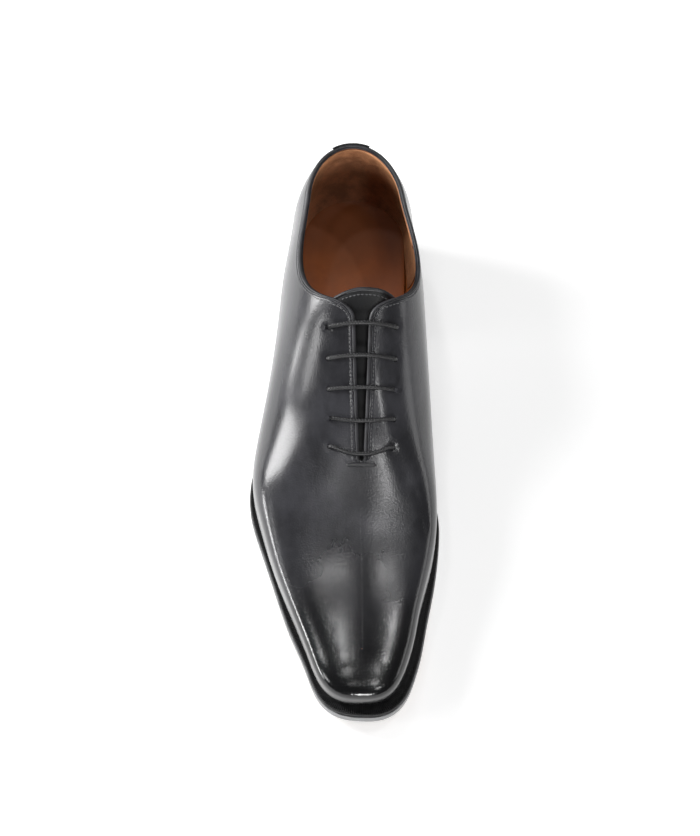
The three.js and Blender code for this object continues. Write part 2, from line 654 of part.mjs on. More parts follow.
// Lace: five straight bars over the facings, joined by runs under them, with its ends at the top eyelets
class Route extends THREE.CatmullRomCurve3 {
  getPointAt(share, target) {
    return this.getPoint(share, target);
  }
  getTangentAt(share, target) {
    return this.getTangent(share, target);
  }
}

// Bend through an eyelet: from inside the hole out to a straight stretch, as distances along and off
const LACE_OFF = 1.2 * GAP + LACE_RADIUS;
const BEND = [35, 65, 90].map(THREE.MathUtils.degToRad).map((turn) => ({
  along: LACE_BEND * (1 - Math.cos(turn)),
  off: LACE_OFF - LACE_BEND * (1 - Math.sin(turn)),
}));

// A bar's points: out of one eyelet, over both facings, and down into the other eyelet.
function bar(row, from) {
  const [distance, half] = [eyeletAt(row), eyeletHalf(eyeletAt(row))];
  const bend = BEND.map(({ along, off }) => [half - along, off]);
  const flat = spaced([half - LACE_BEND, 0, 3]).slice(1, -1).map((beside) => [beside, LACE_OFF]);
  const pointAt = (side, beside, off) => {
    const sag = LACE_SAG * BAR_SAGS[row] * Math.max(1 - (beside / (half - LACE_BEND)) ** 2, 0);
    return facingPoint(side, distance + sag, beside, off);
  };
  const halfBar = (side) => [...bend, ...flat].map(([beside, off]) => pointAt(side, beside, off));
  return [...halfBar(from), pointAt(from, 0, LACE_OFF), ...halfBar(-from).reverse()];
}

// A leg's points: down an eyelet and along under the facing, drifting aside from the line of the eyelets.
function underLeg(side, row, heading, length, aside) {
  const pointAt = (along, lift) => {
    const distance = eyeletAt(row) + heading * along;
    const beside = eyeletHalf(distance) + (aside * along) / length;
    return facingPoint(side, distance, beside, lift - UPPER_WALL);
  };
  return [
    pointAt(0, UPPER_WALL / 2),
    ...BEND.map(({ along, off }) => pointAt(along, -off)),
    ...spaced([LACE_BEND, length, 3]).slice(1).map((along) => pointAt(along, -LACE_OFF)),
  ];
}

// A run's points: a leg from each of its two eyelets, meeting half way, aside from an eyelet between them.
function underRun(side, fromRow, toRow, aside) {
  const reach = (eyeletAt(toRow) - eyeletAt(fromRow)) / 2;
  const [heading, length] = [Math.sign(reach), Math.abs(reach)];
  const first = underLeg(side, fromRow, heading, length, aside);
  const second = underLeg(side, toRow, -heading, length, aside);
  return [...first, ...second.reverse().slice(1)];
}

// The order of the lace: the first hidden end, then each bar and the run that leads to the next one.
function lace() {
  const points = [
    ...underLeg(LATERAL, 1, -1, LACE_END, LACE_ASIDE).reverse(),
    ...bar(1, LATERAL),
    ...underRun(MEDIAL, 1, 3, LACE_ASIDE),
    ...bar(3, MEDIAL),
    ...underRun(LATERAL, 3, 4, 0),
    ...bar(4, LATERAL),
    ...underRun(MEDIAL, 4, 2, -LACE_ASIDE),
    ...bar(2, MEDIAL),
    ...underRun(LATERAL, 2, 0, -LACE_ASIDE),
    ...bar(0, LATERAL),
    ...underLeg(MEDIAL, 0, 1, LACE_END / 2, 0),
  ];
  const round = new THREE.Shape().absarc(0, 0, LACE_RADIUS, 0, 2 * Math.PI);
  const extrudePath = new Route(points, false, "centripetal");
  return new THREE.ExtrudeGeometry(round, { curveSegments: 4, steps: points.length - 1, extrudePath });
}

const shoe = new THREE.Group();

function place(name, geometry, color, roughness) {
  const mesh = new THREE.Mesh(geometry, new THREE.MeshStandardMaterial({ color, roughness, metalness: 0 }));
  mesh.name = name;
  shoe.add(mesh);
}

place("outsole", outsole(), 0x4a4c4f, 0.6);
place("heel_stack", heelStack(), 0x1c1c1e, 0.5);
place("top_lift", topLift(), 0x17171a, 0.7);
place("welt", welt(), 0x141416, 0.55);
place("insole", insole(), 0x9a4f1f, 0.6);
place("upper", upper(), 0x2b2c30, 0.35);
place("heel_tab", heelTab(), 0x1d1e22, 0.4);
place("tongue", tongue(), 0x18191c, 0.5);
place("lace", lace(), 0x202124, 0.45);

export default shoe;
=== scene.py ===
import math
from functools import lru_cache

import bpy
from bpy.props import FloatProperty, FloatVectorProperty, PointerProperty
from mathutils import Matrix, Vector


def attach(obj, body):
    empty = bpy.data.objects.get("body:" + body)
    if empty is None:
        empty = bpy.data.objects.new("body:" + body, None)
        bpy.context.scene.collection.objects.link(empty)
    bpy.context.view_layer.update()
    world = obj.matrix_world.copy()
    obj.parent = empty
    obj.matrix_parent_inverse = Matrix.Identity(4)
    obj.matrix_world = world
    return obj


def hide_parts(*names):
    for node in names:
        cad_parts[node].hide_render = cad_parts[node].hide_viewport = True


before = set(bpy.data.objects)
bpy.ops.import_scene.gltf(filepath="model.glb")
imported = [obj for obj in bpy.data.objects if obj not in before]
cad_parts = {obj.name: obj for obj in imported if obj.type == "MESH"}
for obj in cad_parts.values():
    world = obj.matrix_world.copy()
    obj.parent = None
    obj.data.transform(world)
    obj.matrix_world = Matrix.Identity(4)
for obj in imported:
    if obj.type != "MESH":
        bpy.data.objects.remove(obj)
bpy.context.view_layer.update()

bl_info = {
    "name": "Wholecut oxford",
    "version": (1, 0, 0),
    "blender": (4, 5, 0),
    "location": "3D View > Sidebar > Oxford",
    "description": "Makes the visible pieces of a right wholecut oxford over its packed solids",
    "category": "Mesh",
}

MM = 0.001

# The last, as in the part's source, in millimetres. Distances run from the heel's bulge to the toe.
LAST_LENGTH = 291.5
BALL_WIDTH = 94.5
INSTEP_HEIGHT = 75
BACK_HEIGHT = 62.5
UPPER_WALL = 2.0
TOE_ROUND = 24
HEEL_ROUND = 31
BACK_LEAN = 7
LASTED_MARGIN = 8
TOE_POWER = 2.8
HEEL_POWER = 2.0

# The bottom
HEEL_HEIGHT = 26
HEEL_LENGTH = 70
HEEL_TAPER = 1.6
TOP_LIFT = 6
OUTSOLE = 5
WELT = 3
WELT_SEAT = 9
INSOLE = 3
TOE_SPRING = 9
TREAD_BACK = 0.6
TREAD_FRONT = 0.7
SEAT_FRONT = 0.16
SEAT_SLOPE = 0.02
GAP = 0.3

# The opening and the lacing
FACING_SHARE = 0.3705
EYELETS = 5
EYELET_DROP = 4.5
EYELET_PITCH = 13.375
THROAT_PAST = 7
THROAT_HALF_TOP = 4.0
THROAT_HALF_END = 1.3
CORNER_ROUND = 14
CORNER_AHEAD = 12
CORNER_BEHIND = 28
EYELET_HALF_FIRST = 17.6
EYELET_HALF_LAST = 16.2
EYELET_RADIUS = 1.32
LACE_ROOM = 3.0
LACE_SAG = 3.7
LACE_BEND = 1.7
LACE_ASIDE = 2.6
LACE_END = 11
TONGUE = 1.8
TONGUE_HALF_TOP = 21
TONGUE_HALF_END = 22
TONGUE_RISE = 11
TONGUE_ARC = 3.5
TONGUE_PAST = 17
TONGUE_JOIN = 14
TONGUE_SEAT = 4.2
PIPING_RADIUS = 1.15
TAB_HEIGHT = 30
TAB_THICK = 1.1
TAB_HALF_TOP = 9.5
TAB_HALF_END = 5.5
BAR_SAGS = (0, 0, 0.07, 0.45, 1)

HEEL_BACK_Y = HEEL_LENGTH / 2
SOLE_BED = OUTSOLE + GAP + WELT + GAP
FACING_TOP = FACING_SHARE * LAST_LENGTH
EYELET_FIRST = FACING_TOP + EYELET_DROP
EYELET_LAST = EYELET_FIRST + (EYELETS - 1) * EYELET_PITCH
THROAT_END = EYELET_LAST + THROAT_PAST
TONGUE_TOP = FACING_TOP - TONGUE_RISE
TONGUE_END = THROAT_END + TONGUE_PAST
TOE_AT = LAST_LENGTH - TOE_ROUND
LATERAL = -1
MEDIAL = 1
LOWER_PART = 0.28
STEP = 1e-4

# Each row of a table starts with its share of the last. Then come half widths and the crest's line,
WIDTH_ROWS = (
    (0.0, 0.32, 0.342, 0.01),
    (0.07, 0.323, 0.346, 0.012),
    (0.14, 0.344, 0.362, 0.02),
    (0.22, 0.382, 0.394, 0.04),
    (0.3, 0.41, 0.413, 0.056),
    (0.4, 0.456, 0.432, 0.058),
    (0.5, 0.517, 0.452, 0.057),
    (0.6, 0.541, 0.467, 0.055),
    (0.68, 0.488, 0.465, 0.055),
    (0.76, 0.412, 0.425, 0.056),
    (0.84, 0.3175, 0.364, 0.057),
    (0.9, 0.246, 0.327, 0.057),
    (0.95, 0.195, 0.284, 0.057),
    (1.0, 0.163, 0.258, 0.057),
)
# the widest line's rise and the fullness of the sides,
SIDE_ROWS = (
    (0.0, 0.24, 0.24, 0.7, 0.7),
    (0.07, 0.25, 0.25, 0.78, 0.68),
    (0.14, 0.27, 0.28, 1.08, 0.66),
    (0.22, 0.28, 0.32, 1.32, 0.44),
    (0.3, 0.27, 0.36, 1.2, 0.52),
    (0.4, 0.24, 0.36, 1.12, 0.94),
    (0.5, 0.21, 0.28, 1.08, 0.94),
    (0.6, 0.18, 0.2, 0.82, 0.9),
    (0.68, 0.165, 0.175, 0.72, 0.9),
    (0.76, 0.15, 0.15, 0.72, 0.9),
    (0.84, 0.13, 0.13, 0.72, 0.9),
    (0.92, 0.115, 0.115, 0.74, 0.9),
    (1.0, 0.1, 0.1, 0.78, 0.9),
)
# the crest's rise and the shoulder below it,
CREST_ROWS = (
    (0.0, 0.96),
    (0.14, 0.97),
    (0.22, 1.0),
    (0.3, 1.03),
    (0.36, 1.0),
    (0.42, 0.91),
    (0.5, 0.78),
    (0.6, 0.635),
    (0.68, 0.52),
    (0.76, 0.43),
    (0.84, 0.365),
    (0.92, 0.315),
    (1.0, 0.265),
)
SHOULDER_ROWS = (
    (0.0, 1.0),
    (0.44, 1.0),
    (0.5, 0.95),
    (0.55, 0.75),
    (0.6, 0.5),
    (0.66, 0.37),
    (0.76, 0.33),
    (0.84, 0.35),
    (0.92, 0.39),
    (1.0, 0.46),
)
# the feather line's tuck and the sole's edge beyond it,
BOTTOM_ROWS = (
    (0.0, 0.035, 0.035, 0.035, 0.035),
    (0.12, 0.038, 0.042, 0.032, 0.03),
    (0.2, 0.044, 0.075, 0.028, 0.024),
    (0.3, 0.056, 0.135, 0.03, 0.022),
    (0.4, 0.07, 0.18, 0.045, 0.022),
    (0.5, 0.058, 0.125, 0.068, 0.03),
    (0.6, 0.04, 0.05, 0.066, 0.06),
    (0.68, 0.036, 0.038, 0.052, 0.06),
    (0.76, 0.032, 0.032, 0.044, 0.062),
    (0.84, 0.028, 0.028, 0.052, 0.071),
    (0.92, 0.025, 0.025, 0.045, 0.069),
    (1.0, 0.022, 0.022, 0.055, 0.075),
)
# and the topline's height.
TOPLINE_ROWS = (
    (0.0, 1.0),
    (0.05, 0.97),
    (0.1, 0.905),
    (0.15, 0.84),
    (0.2, 0.8),
    (0.25, 0.8),
    (0.3, 0.86),
    (0.34, 0.96),
    (0.38, 1.12),
    (0.42, 1.35),
)


def clamp(value, low=0.0, high=1.0):
    return min(max(value, low), high)


def lerp(start, end, share):
    return start + (end - start) * share


def smooth(share):
    share = clamp(share)
    return share * share * (3 - 2 * share)


def spaced(*spans):
    """Evenly spaced values over joined spans, each (from, to, count), closed by the last value."""
    values = [lerp(start, end, i / count) for start, end, count in spans for i in range(count)]
    return [*values, spans[-1][1]]


def cubic(xs, ys):
    """A natural cubic through the points, as a function; straight past its ends."""
    count = len(xs)
    bend = [0.0] * count
    carry = [0.0] * count
    for i in range(1, count - 1):
        share = (xs[i] - xs[i - 1]) / (xs[i + 1] - xs[i - 1])
        pivot = share * bend[i - 1] + 2
        turn = (ys[i + 1] - ys[i]) / (xs[i + 1] - xs[i]) - (ys[i] - ys[i - 1]) / (xs[i] - xs[i - 1])
        bend[i] = (share - 1) / pivot
        carry[i] = (6 * turn / (xs[i + 1] - xs[i - 1]) - share * carry[i - 1]) / pivot
    bend[-1] = 0.0
    for i in range(count - 2, -1, -1):
        bend[i] = bend[i] * bend[i + 1] + carry[i]

    def value(x):
        i = 0
        while i < count - 2 and x > xs[i + 1]:
            i += 1
        width = xs[i + 1] - xs[i]
        part = (x - xs[i]) / width
        held = clamp(part)
        rest = 1 - held
        bulge = ((rest**3 - rest) * bend[i] + (held**3 - held) * bend[i + 1]) * width * width / 6
        tilt = -(2 * bend[i] + bend[i + 1]) if part < 0 else bend[i] + 2 * bend[i + 1]
        slope = ys[i + 1] - ys[i] + tilt * width * width / 6
        return lerp(ys[i], ys[i + 1], held) + bulge + slope * (part - held)

    return value


def curves_of(rows):
    """One cubic for each column after the first, over the shares in the first."""
    shares, *columns = zip(*rows)
    return [cubic(shares, column) for column in columns]


HALF_LATERAL, HALF_MEDIAL, LINE = curves_of(WIDTH_ROWS)
RISE_LATERAL, RISE_MEDIAL, FULL_LATERAL, FULL_MEDIAL = curves_of(SIDE_ROWS)
CREST = curves_of(CREST_ROWS)[0]
SHOULDER = curves_of(SHOULDER_ROWS)[0]
TUCK_LATERAL, TUCK_MEDIAL, EDGE_LATERAL, EDGE_MEDIAL = curves_of(BOTTOM_ROWS)
TOPLINE = curves_of(TOPLINE_ROWS)[0]


def side_value(lateral, medial, side, share, apart):
    """A side's own value of a pair of curves; where the sides meet, apart is 0 and both take their mean."""
    low, high = lateral(share), medial(share)
    return lerp((low + high) / 2, low if side == LATERAL else high, apart)


def half_width(side, share):
    return BALL_WIDTH * side_value(HALF_LATERAL, HALF_MEDIAL, side, share, 1)


def widest_rise(side, share, apart):
    return INSTEP_HEIGHT * side_value(RISE_LATERAL, RISE_MEDIAL, side, share, apart)


def crest_line(share):
    return BALL_WIDTH * LINE(share)


def underside_at(y):
    """The sole's underside: heel seat, shank, flat tread and toe spring."""
    share = (HEEL_BACK_Y - y) / LAST_LENGTH
    climb = smooth((TREAD_BACK - share) / (TREAD_BACK - SEAT_FRONT))
    seat = HEEL_HEIGHT + SEAT_SLOPE * (y - HEEL_BACK_Y + HEEL_LENGTH)
    spring = max(0.0, (share - TREAD_FRONT) / (1 - TREAD_FRONT))
    return seat * climb + TOE_SPRING * spring * spring


def feather_at(y):
    return underside_at(y) + SOLE_BED


SEAT_LEVEL = feather_at(HEEL_BACK_Y)


@lru_cache(maxsize=None)
def bearing(station):
    """How far across, ahead and behind a column stands, and where its straight part starts."""
    toe = clamp(station) * math.pi / 2
    heel = clamp(3 - station) * math.pi / 2
    across = math.sin(toe) ** (2 / TOE_POWER) * math.sin(heel) ** (2 / HEEL_POWER)
    ahead = math.cos(toe) ** (2 / TOE_POWER) if station < 1 else 0.0
    behind = math.cos(heel) ** (2 / HEEL_POWER) if station > 2 else 0.0
    return across, ahead, behind, lerp(TOE_AT, HEEL_ROUND, clamp(station - 1))


def station_at(distance):
    return 1 + (TOE_AT - distance) / (TOE_AT - HEEL_ROUND)


@lru_cache(maxsize=None)
def widest(side, station):
    """The upper's widest line in plan: x, y, its share of the last and how far apart the sides are."""
    across, ahead, behind, base = bearing(station)
    distance = base + TOE_ROUND * ahead - HEEL_ROUND * behind
    share = distance / LAST_LENGTH
    line = crest_line(share)
    spread = half_width(side, share) - side * line
    return line + side * spread * across, HEEL_BACK_Y - distance, share, across


@lru_cache(maxsize=None)
def outward(side, station):
    if station <= 0:
        return Vector((0, -1))
    if station >= 3:
        return Vector((0, 1))
    before = widest(side, station - STEP)
    after = widest(side, station + STEP)
    return (Vector((after[1] - before[1], before[0] - after[0])) * side).normalized()


def plan_point(side, station, beyond):
    """A point in plan, this far out from the feather line."""
    x, y, share, apart = widest(side, station)
    step = beyond - BALL_WIDTH * side_value(TUCK_LATERAL, TUCK_MEDIAL, side, share, apart)
    return Vector((x, y)) + outward(side, station) * step


def sole_point(side, station, inside):
    x, y, share, apart = widest(side, station)
    edge = BALL_WIDTH * side_value(EDGE_LATERAL, EDGE_MEDIAL, side, share, apart)
    return plan_point(side, station, edge - inside)


def upper_point(side, station, level):
    """The upper's outer surface: level 0 is the feather line, LOWER_PART the widest line and 1 the crest."""
    x, y, share, apart = widest(side, station)
    if level < LOWER_PART:
        part = level / LOWER_PART
        tuck = BALL_WIDTH * side_value(TUCK_LATERAL, TUCK_MEDIAL, side, share, apart)
        point = plan_point(side, station, tuck * (1 - (1 - part) ** 2))
        return Vector((point.x, point.y, feather_at(point.y) + widest_rise(side, share, apart) * part))
    across, ahead, behind, base = bearing(station)
    turn = min((level - LOWER_PART) / (1 - LOWER_PART), 1) * math.pi / 2
    root = (base - HEEL_ROUND * behind) / LAST_LENGTH
    near = max(math.cos(turn), 0) ** side_value(FULL_LATERAL, FULL_MEDIAL, side, root, across)
    climb = math.sin(turn) ** SHOULDER(root)
    distance = base + TOE_ROUND * ahead * near - HEEL_ROUND * behind
    share = distance / LAST_LENGTH
    line = crest_line(share)
    low = widest_rise(side, share, across)
    rise = lerp(low, INSTEP_HEIGHT * CREST(share), climb)
    lean = BACK_LEAN * behind * ((rise - low) / (BACK_HEIGHT - low)) ** 2
    x = line + side * (half_width(side, share) - side * line) * across * near
    return Vector((x, HEEL_BACK_Y - distance - lean, feather_at(HEEL_BACK_Y - distance) + rise))


def upper_normal(side, station, level):
    """That surface's outward normal. Both halves share the toe's and heel's columns and the crest."""
    low = upper_point(side, station, max(level - STEP, 0))
    high = upper_point(side, station, min(level + STEP, 1))
    if station <= 0 or station >= 3:
        climb = high - low
        facing = -1 if station <= 0 else 1
        return Vector((0, facing * climb.z, -facing * climb.y)).normalized()
    if level >= 1:
        middle = max(station, 1 + STEP)
        slope = upper_point(side, middle + STEP, 1) - upper_point(side, middle - STEP, 1)
        return Vector((0, -slope.z, slope.y)).normalized()
    along = upper_point(side, station + STEP, level) - upper_point(side, station - STEP, level)
    return (along.cross(high - low) * side).normalized()


def upper_off(side, station, level, lift):
    return upper_point(side, station, level) + upper_normal(side, station, level) * lift


def boundary(low, high, test):
    """The value between low and high where test stops being true, found by halving."""
    for _ in range(30):
        middle = (low + high) / 2
        if test(middle):
            low = middle
        else:
            high = middle
    return low


def throat_half(distance):
    part = max((THROAT_END - distance) / (THROAT_END - FACING_TOP), 0)
    return lerp(THROAT_HALF_END, THROAT_HALF_TOP, part)


@lru_cache(maxsize=None)
def end_level(side, station):
    """The level where a column ends, at the topline or the throat's edge."""
    share = widest(side, station)[2]
    distance = share * LAST_LENGTH
    if station <= 1 or distance >= THROAT_END:
        return 1.0
    limit = SEAT_LEVEL + BACK_HEIGHT * TOPLINE(share)

    def is_upper(level):
        point = upper_point(side, station, level)
        under = limit - point.z
        if station > 2:
            return under > 0
        beside = side * (point.x - crest_line(share)) - throat_half(distance)
        blend = clamp(0.5 + 0.5 * (beside - under) / CORNER_ROUND)
        return lerp(beside, under, blend) - CORNER_ROUND * blend * (1 - blend) > 0

    return boundary(LOWER_PART, 1, is_upper)


def facing_point(side, distance, half, lift):
    """A point over the facings, half from the middle of the throat and lift out from the surface."""
    station = station_at(distance)
    line = crest_line(distance / LAST_LENGTH)

    def is_wider(level):
        return side * (upper_point(side, station, level).x - line) > half

    level = boundary(LOWER_PART, 1, is_wider) if half > 0 else 1.0
    return upper_off(side, station, level, lift)


def eyelet_at(row):
    return EYELET_FIRST + row * EYELET_PITCH


def eyelet_half(distance):
    part = (distance - EYELET_FIRST) / (EYELET_LAST - EYELET_FIRST)
    return lerp(EYELET_HALF_FIRST, EYELET_HALF_LAST, part)


# Signed stations run from the heel's back over the lateral side to the toe and back over the medial side.
def round_stations(side_stations):
    return [-station for station in reversed(side_stations)] + list(side_stations[1:])


def side_of(signed):
    return (LATERAL, -signed) if signed <= 0 else (MEDIAL, signed)


class OxfordSettings(bpy.types.PropertyGroup):
    """Sizes and colours of the shoe's finish."""

    stitch_length: FloatProperty(
        name="Stitch length", description="Length of one stitch", default=1.65 * MM, unit="LENGTH")
    stitch_pitch: FloatProperty(
        name="Stitch pitch", description="From one stitch to the next", default=2.1 * MM, unit="LENGTH")
    stitch_inside: FloatProperty(
        name="Stitch distance", description="From the edge to the stitches", default=2.9 * MM, unit="LENGTH")
    lace_radius: FloatProperty(
        name="Lace radius", description="Radius of the round lace", default=1.1 * MM, unit="LENGTH")
    rib_pitch: FloatProperty(
        name="Rib pitch", description="From one rib to the next", default=1.15 * MM, unit="LENGTH")
    heel_layer: FloatProperty(
        name="Heel layer", description="Thickness of one layer of the heel", default=5.0 * MM, unit="LENGTH")
    calf: FloatVectorProperty(
        name="Calf", description="The upper's grey", default=(0.027, 0.027, 0.031), subtype="COLOR")
    calf_dark: FloatVectorProperty(
        name="Dark calf", description="The burnished toe", default=(0.0035, 0.0036, 0.0041), subtype="COLOR")
    lining: FloatVectorProperty(
        name="Lining", description="Sock and quarter lining", default=(0.46, 0.128, 0.022), subtype="COLOR")
    suede: FloatVectorProperty(
        name="Suede", description="Heel lining", default=(0.24, 0.1, 0.05), subtype="COLOR")
    cord: FloatVectorProperty(
        name="Lace", description="The waxed cord", default=(0.013, 0.013, 0.0145), subtype="COLOR")
    sole_edge: FloatVectorProperty(
        name="Sole edge", description="Its dyed edge", default=(0.27, 0.272, 0.276), subtype="COLOR")


def settings():
    return bpy.context.scene.oxford


# Making and finishing pieces
SHARP = math.radians(50)
MERGE = 0.004 * MM
X, Y, Z = 0, 1, 2


def active(piece):
    bpy.ops.object.select_all(action="DESELECT")
    piece.select_set(True)
    bpy.context.view_layer.objects.active = piece


def sheet(name, columns, rows, place):
    """A grid primitive whose point of each column and row goes where place says, in millimetres."""
    bpy.ops.object.select_all(action="DESELECT")
    bpy.ops.mesh.primitive_grid_add(x_subdivisions=columns - 1, y_subdivisions=rows - 1, size=2)
    piece = bpy.context.object
    piece.name = piece.data.name = name
    for vertex in piece.data.vertices:
        column = round((vertex.co.x + 1) / 2 * (columns - 1))
        row = round((vertex.co.y + 1) / 2 * (rows - 1))
        vertex.co = Vector(place(column, row)) * MM
    return piece


def merge(piece):
    """Merges the points of a piece that meet."""
    active(piece)
    bpy.ops.object.mode_set(mode="EDIT")
    bpy.ops.mesh.select_all(action="SELECT")
    bpy.ops.mesh.remove_doubles(threshold=MERGE)
    bpy.ops.object.mode_set(mode="OBJECT")


def close_up(piece, caps=False):
    """Merges a piece's doubles, fills its open ends if asked, and turns its faces outwards."""
    merge(piece)
    bpy.ops.object.mode_set(mode="EDIT")
    if caps:
        bpy.ops.mesh.select_all(action="DESELECT")
        bpy.ops.mesh.select_mode(type="EDGE")
        bpy.ops.mesh.select_non_manifold(extend=False)
        bpy.ops.mesh.fill()
        bpy.ops.mesh.select_all(action="SELECT")
    bpy.ops.mesh.select_mode(type="FACE")
    bpy.ops.mesh.select_all(action="SELECT")
    bpy.ops.mesh.normals_make_consistent(inside=False)
    bpy.ops.object.mode_set(mode="OBJECT")


def delete_faces(piece, indices):
    active(piece)
    bpy.ops.object.mode_set(mode="EDIT")
    bpy.ops.mesh.select_mode(type="FACE")
    bpy.ops.mesh.select_all(action="DESELECT")
    bpy.ops.object.mode_set(mode="OBJECT")
    for index in indices:
        piece.data.polygons[index].select = True
    bpy.ops.object.mode_set(mode="EDIT")
    bpy.ops.mesh.delete(type="FACE")
    bpy.ops.object.mode_set(mode="OBJECT")


def modify(piece, kind, **values):
    """Adds a modifier with these values and applies it."""
    active(piece)
    modifier = piece.modifiers.new(kind.lower(), kind)
    for name, value in values.items():
        setattr(modifier, name, value)
    bpy.ops.object.modifier_apply(modifier=modifier.name)


def round_edges(piece, width, segments):
    """Rounds a piece's sharp edges, by a width in millimetres."""
    modify(piece, "BEVEL", width=width * MM, segments=segments, limit_method="ANGLE", angle_limit=SHARP)


def turn_to(piece, axis, sign, face):
    """Turns a sheet over if one of its faces looks the wrong way along an axis."""
    if piece.data.polygons[face].normal[axis] * sign < 0:
        piece.data.flip_normals()


def finish(piece, materials, angle=math.radians(40), stands_for=()):
    """Shades a finished piece, gives it its materials and ties it to the frame."""
    active(piece)
    bpy.ops.object.shade_smooth_by_angle(angle=angle)
    for material in materials:
        piece.data.materials.append(material)
    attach(piece, "root")
    if stands_for:
        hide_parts(*stands_for)


# Materials
SOCKETS = {
    "specular": "Specular IOR Level",
    "coat": "Coat Weight",
    "coat_roughness": "Coat Roughness",
    "roughness": "Roughness",
    "sheen": "Sheen Weight",
    "sheen_roughness": "Sheen Roughness",
    "sheen_tint": "Sheen Tint",
}


def new_material(name):
    material = bpy.data.materials.new(name)
    material.use_nodes = True
    return material, material.node_tree, material.node_tree.nodes["Principled BSDF"]


def add(tree, kind, links=None, **values):
    """Adds a node. A value goes to the socket or setting of that name, and links are socket to output."""
    made = tree.nodes.new(kind)
    for name, value in values.items():
        socket = made.inputs.get(name.replace("_", " ").title()) if name not in dir(made) else None
        if socket:
            socket.default_value = value
        else:
            setattr(made, name, value)
    for name, source in (links or {}).items():
        tree.links.new(source, made.inputs[name])
    return made


def noise(tree, place, scale, detail=3.0, roughness=0.5):
    return add(tree, "ShaderNodeTexNoise", {"Vector": place}, scale=scale, detail=detail, roughness=roughness)


def ramp(tree, factor, low, high, start=(0, 0, 0, 1), end=(1, 1, 1, 1)):
    made = add(tree, "ShaderNodeValToRGB", {"Fac": factor})
    first, second = made.color_ramp.elements
    first.position, first.color = low, start
    second.position, second.color = high, end
    return made.outputs["Color"]


def mix(tree, factor, one, other):
    """Mixes two colours, each an output or a plain colour, by an output or a plain number."""
    made = tree.nodes.new("ShaderNodeMix")
    made.data_type = "RGBA"
    for socket, value in ((made.inputs[0], factor), (made.inputs[6], one), (made.inputs[7], other)):
        if isinstance(value, bpy.types.NodeSocket):
            tree.links.new(value, socket)
        elif hasattr(value, "__len__"):
            socket.default_value = (*value[:3], 1)
        else:
            socket.default_value = value
    return made.outputs[2]


def maths(tree, operation, *values):
    made = tree.nodes.new("ShaderNodeMath")
    made.operation = operation
    for socket, value in zip(made.inputs, values):
        if isinstance(value, bpy.types.NodeSocket):
            tree.links.new(value, socket)
        else:
            socket.default_value = value
    return made.outputs[0]


def fit(tree, value, low, high, start=0.0, end=1.0):
    """Maps a value from low and high to start and end, smoothly and held at both ends."""
    made = add(tree, "ShaderNodeMapRange", {"Value": value}, interpolation_type="SMOOTHSTEP")
    for name, number in (("From Min", low), ("From Max", high), ("To Min", start), ("To Max", end)):
        made.inputs[name].default_value = number
    return made.outputs["Result"]


def look(tree, shader, colour, roughness=None):
    """Links a shader's colour and, where it varies, its roughness."""
    tree.links.new(colour, shader.inputs["Base Color"])
    if roughness:
        tree.links.new(roughness, shader.inputs["Roughness"])


def surface(shader, **values):
    """Sets a shader's own sockets, by their short names."""
    for name, value in values.items():
        shader.inputs[SOCKETS[name]].default_value = value


def bump(tree, shader, heights):
    """Stacks bumps on a shader. Each is an output, its strength and its depth in metres."""
    normal = None
    for height, strength, depth in heights:
        made = add(tree, "ShaderNodeBump", {"Height": height})
        made.inputs["Strength"].default_value = strength
        made.inputs["Distance"].default_value = depth
        if normal:
            tree.links.new(normal, made.inputs["Normal"])
        normal = made.outputs["Normal"]
    tree.links.new(normal, shader.inputs["Normal"])


def object_place(tree, stretch=(1, 1, 1)):
    place = add(tree, "ShaderNodeTexCoord").outputs["Object"]
    mapping = add(tree, "ShaderNodeMapping", {"Vector": place})
    mapping.inputs["Scale"].default_value = stretch
    return mapping.outputs["Vector"]


def grain(tree, place, size):
    """Leather's fine grain: small cells with soft creases between them."""
    cells = add(tree, "ShaderNodeTexVoronoi", {"Vector": place}, scale=1 / size, feature="SMOOTH_F1")
    cells.inputs["Smoothness"].default_value = 0.6
    return cells.outputs["Distance"]


@lru_cache(maxsize=None)
def calf_material():
    """Polished calf with a hand-rubbed grey patina, burnished nearly black at the toe."""
    material, tree, shader = new_material("calf")
    place = object_place(tree)
    axes = add(tree, "ShaderNodeSeparateXYZ", {"Vector": place}).outputs
    cloud = noise(tree, place, 28, 4, 0.55).outputs["Fac"]
    strokes = noise(tree, object_place(tree, (1, 0.35, 1)), 75, 5, 0.6).outputs["Fac"]
    rubbed = maths(tree, "ADD", maths(tree, "MULTIPLY", cloud, 0.65), maths(tree, "MULTIPLY", strokes, 0.35))
    light = tuple(1.35 * part for part in settings().calf)
    deep = tuple(0.62 * part for part in settings().calf)
    patina = mix(tree, fit(tree, rubbed, 0.36, 0.62), deep, light)
    toe = fit(tree, maths(tree, "ADD", axes["Y"], maths(tree, "MULTIPLY", cloud, 0.03)), -0.14, -0.225)
    colour = mix(tree, toe, patina, settings().calf_dark)
    dull = fit(tree, strokes, 0.3, 0.7, 0.21, 0.27)
    look(tree, shader, colour, maths(tree, "ADD", dull, maths(tree, "MULTIPLY", toe, -0.05)))
    surface(shader, specular=0.5, coat=0.2, coat_roughness=0.16)
    bump(tree, shader, [
        (grain(tree, place, 0.95 * MM), 0.8, 0.06 * MM),
        (noise(tree, place, 1900, 2).outputs["Fac"], 0.7, 0.035 * MM),
        (noise(tree, place, 120, 3).outputs["Fac"], 0.2, 0.12 * MM),
    ])
    return material


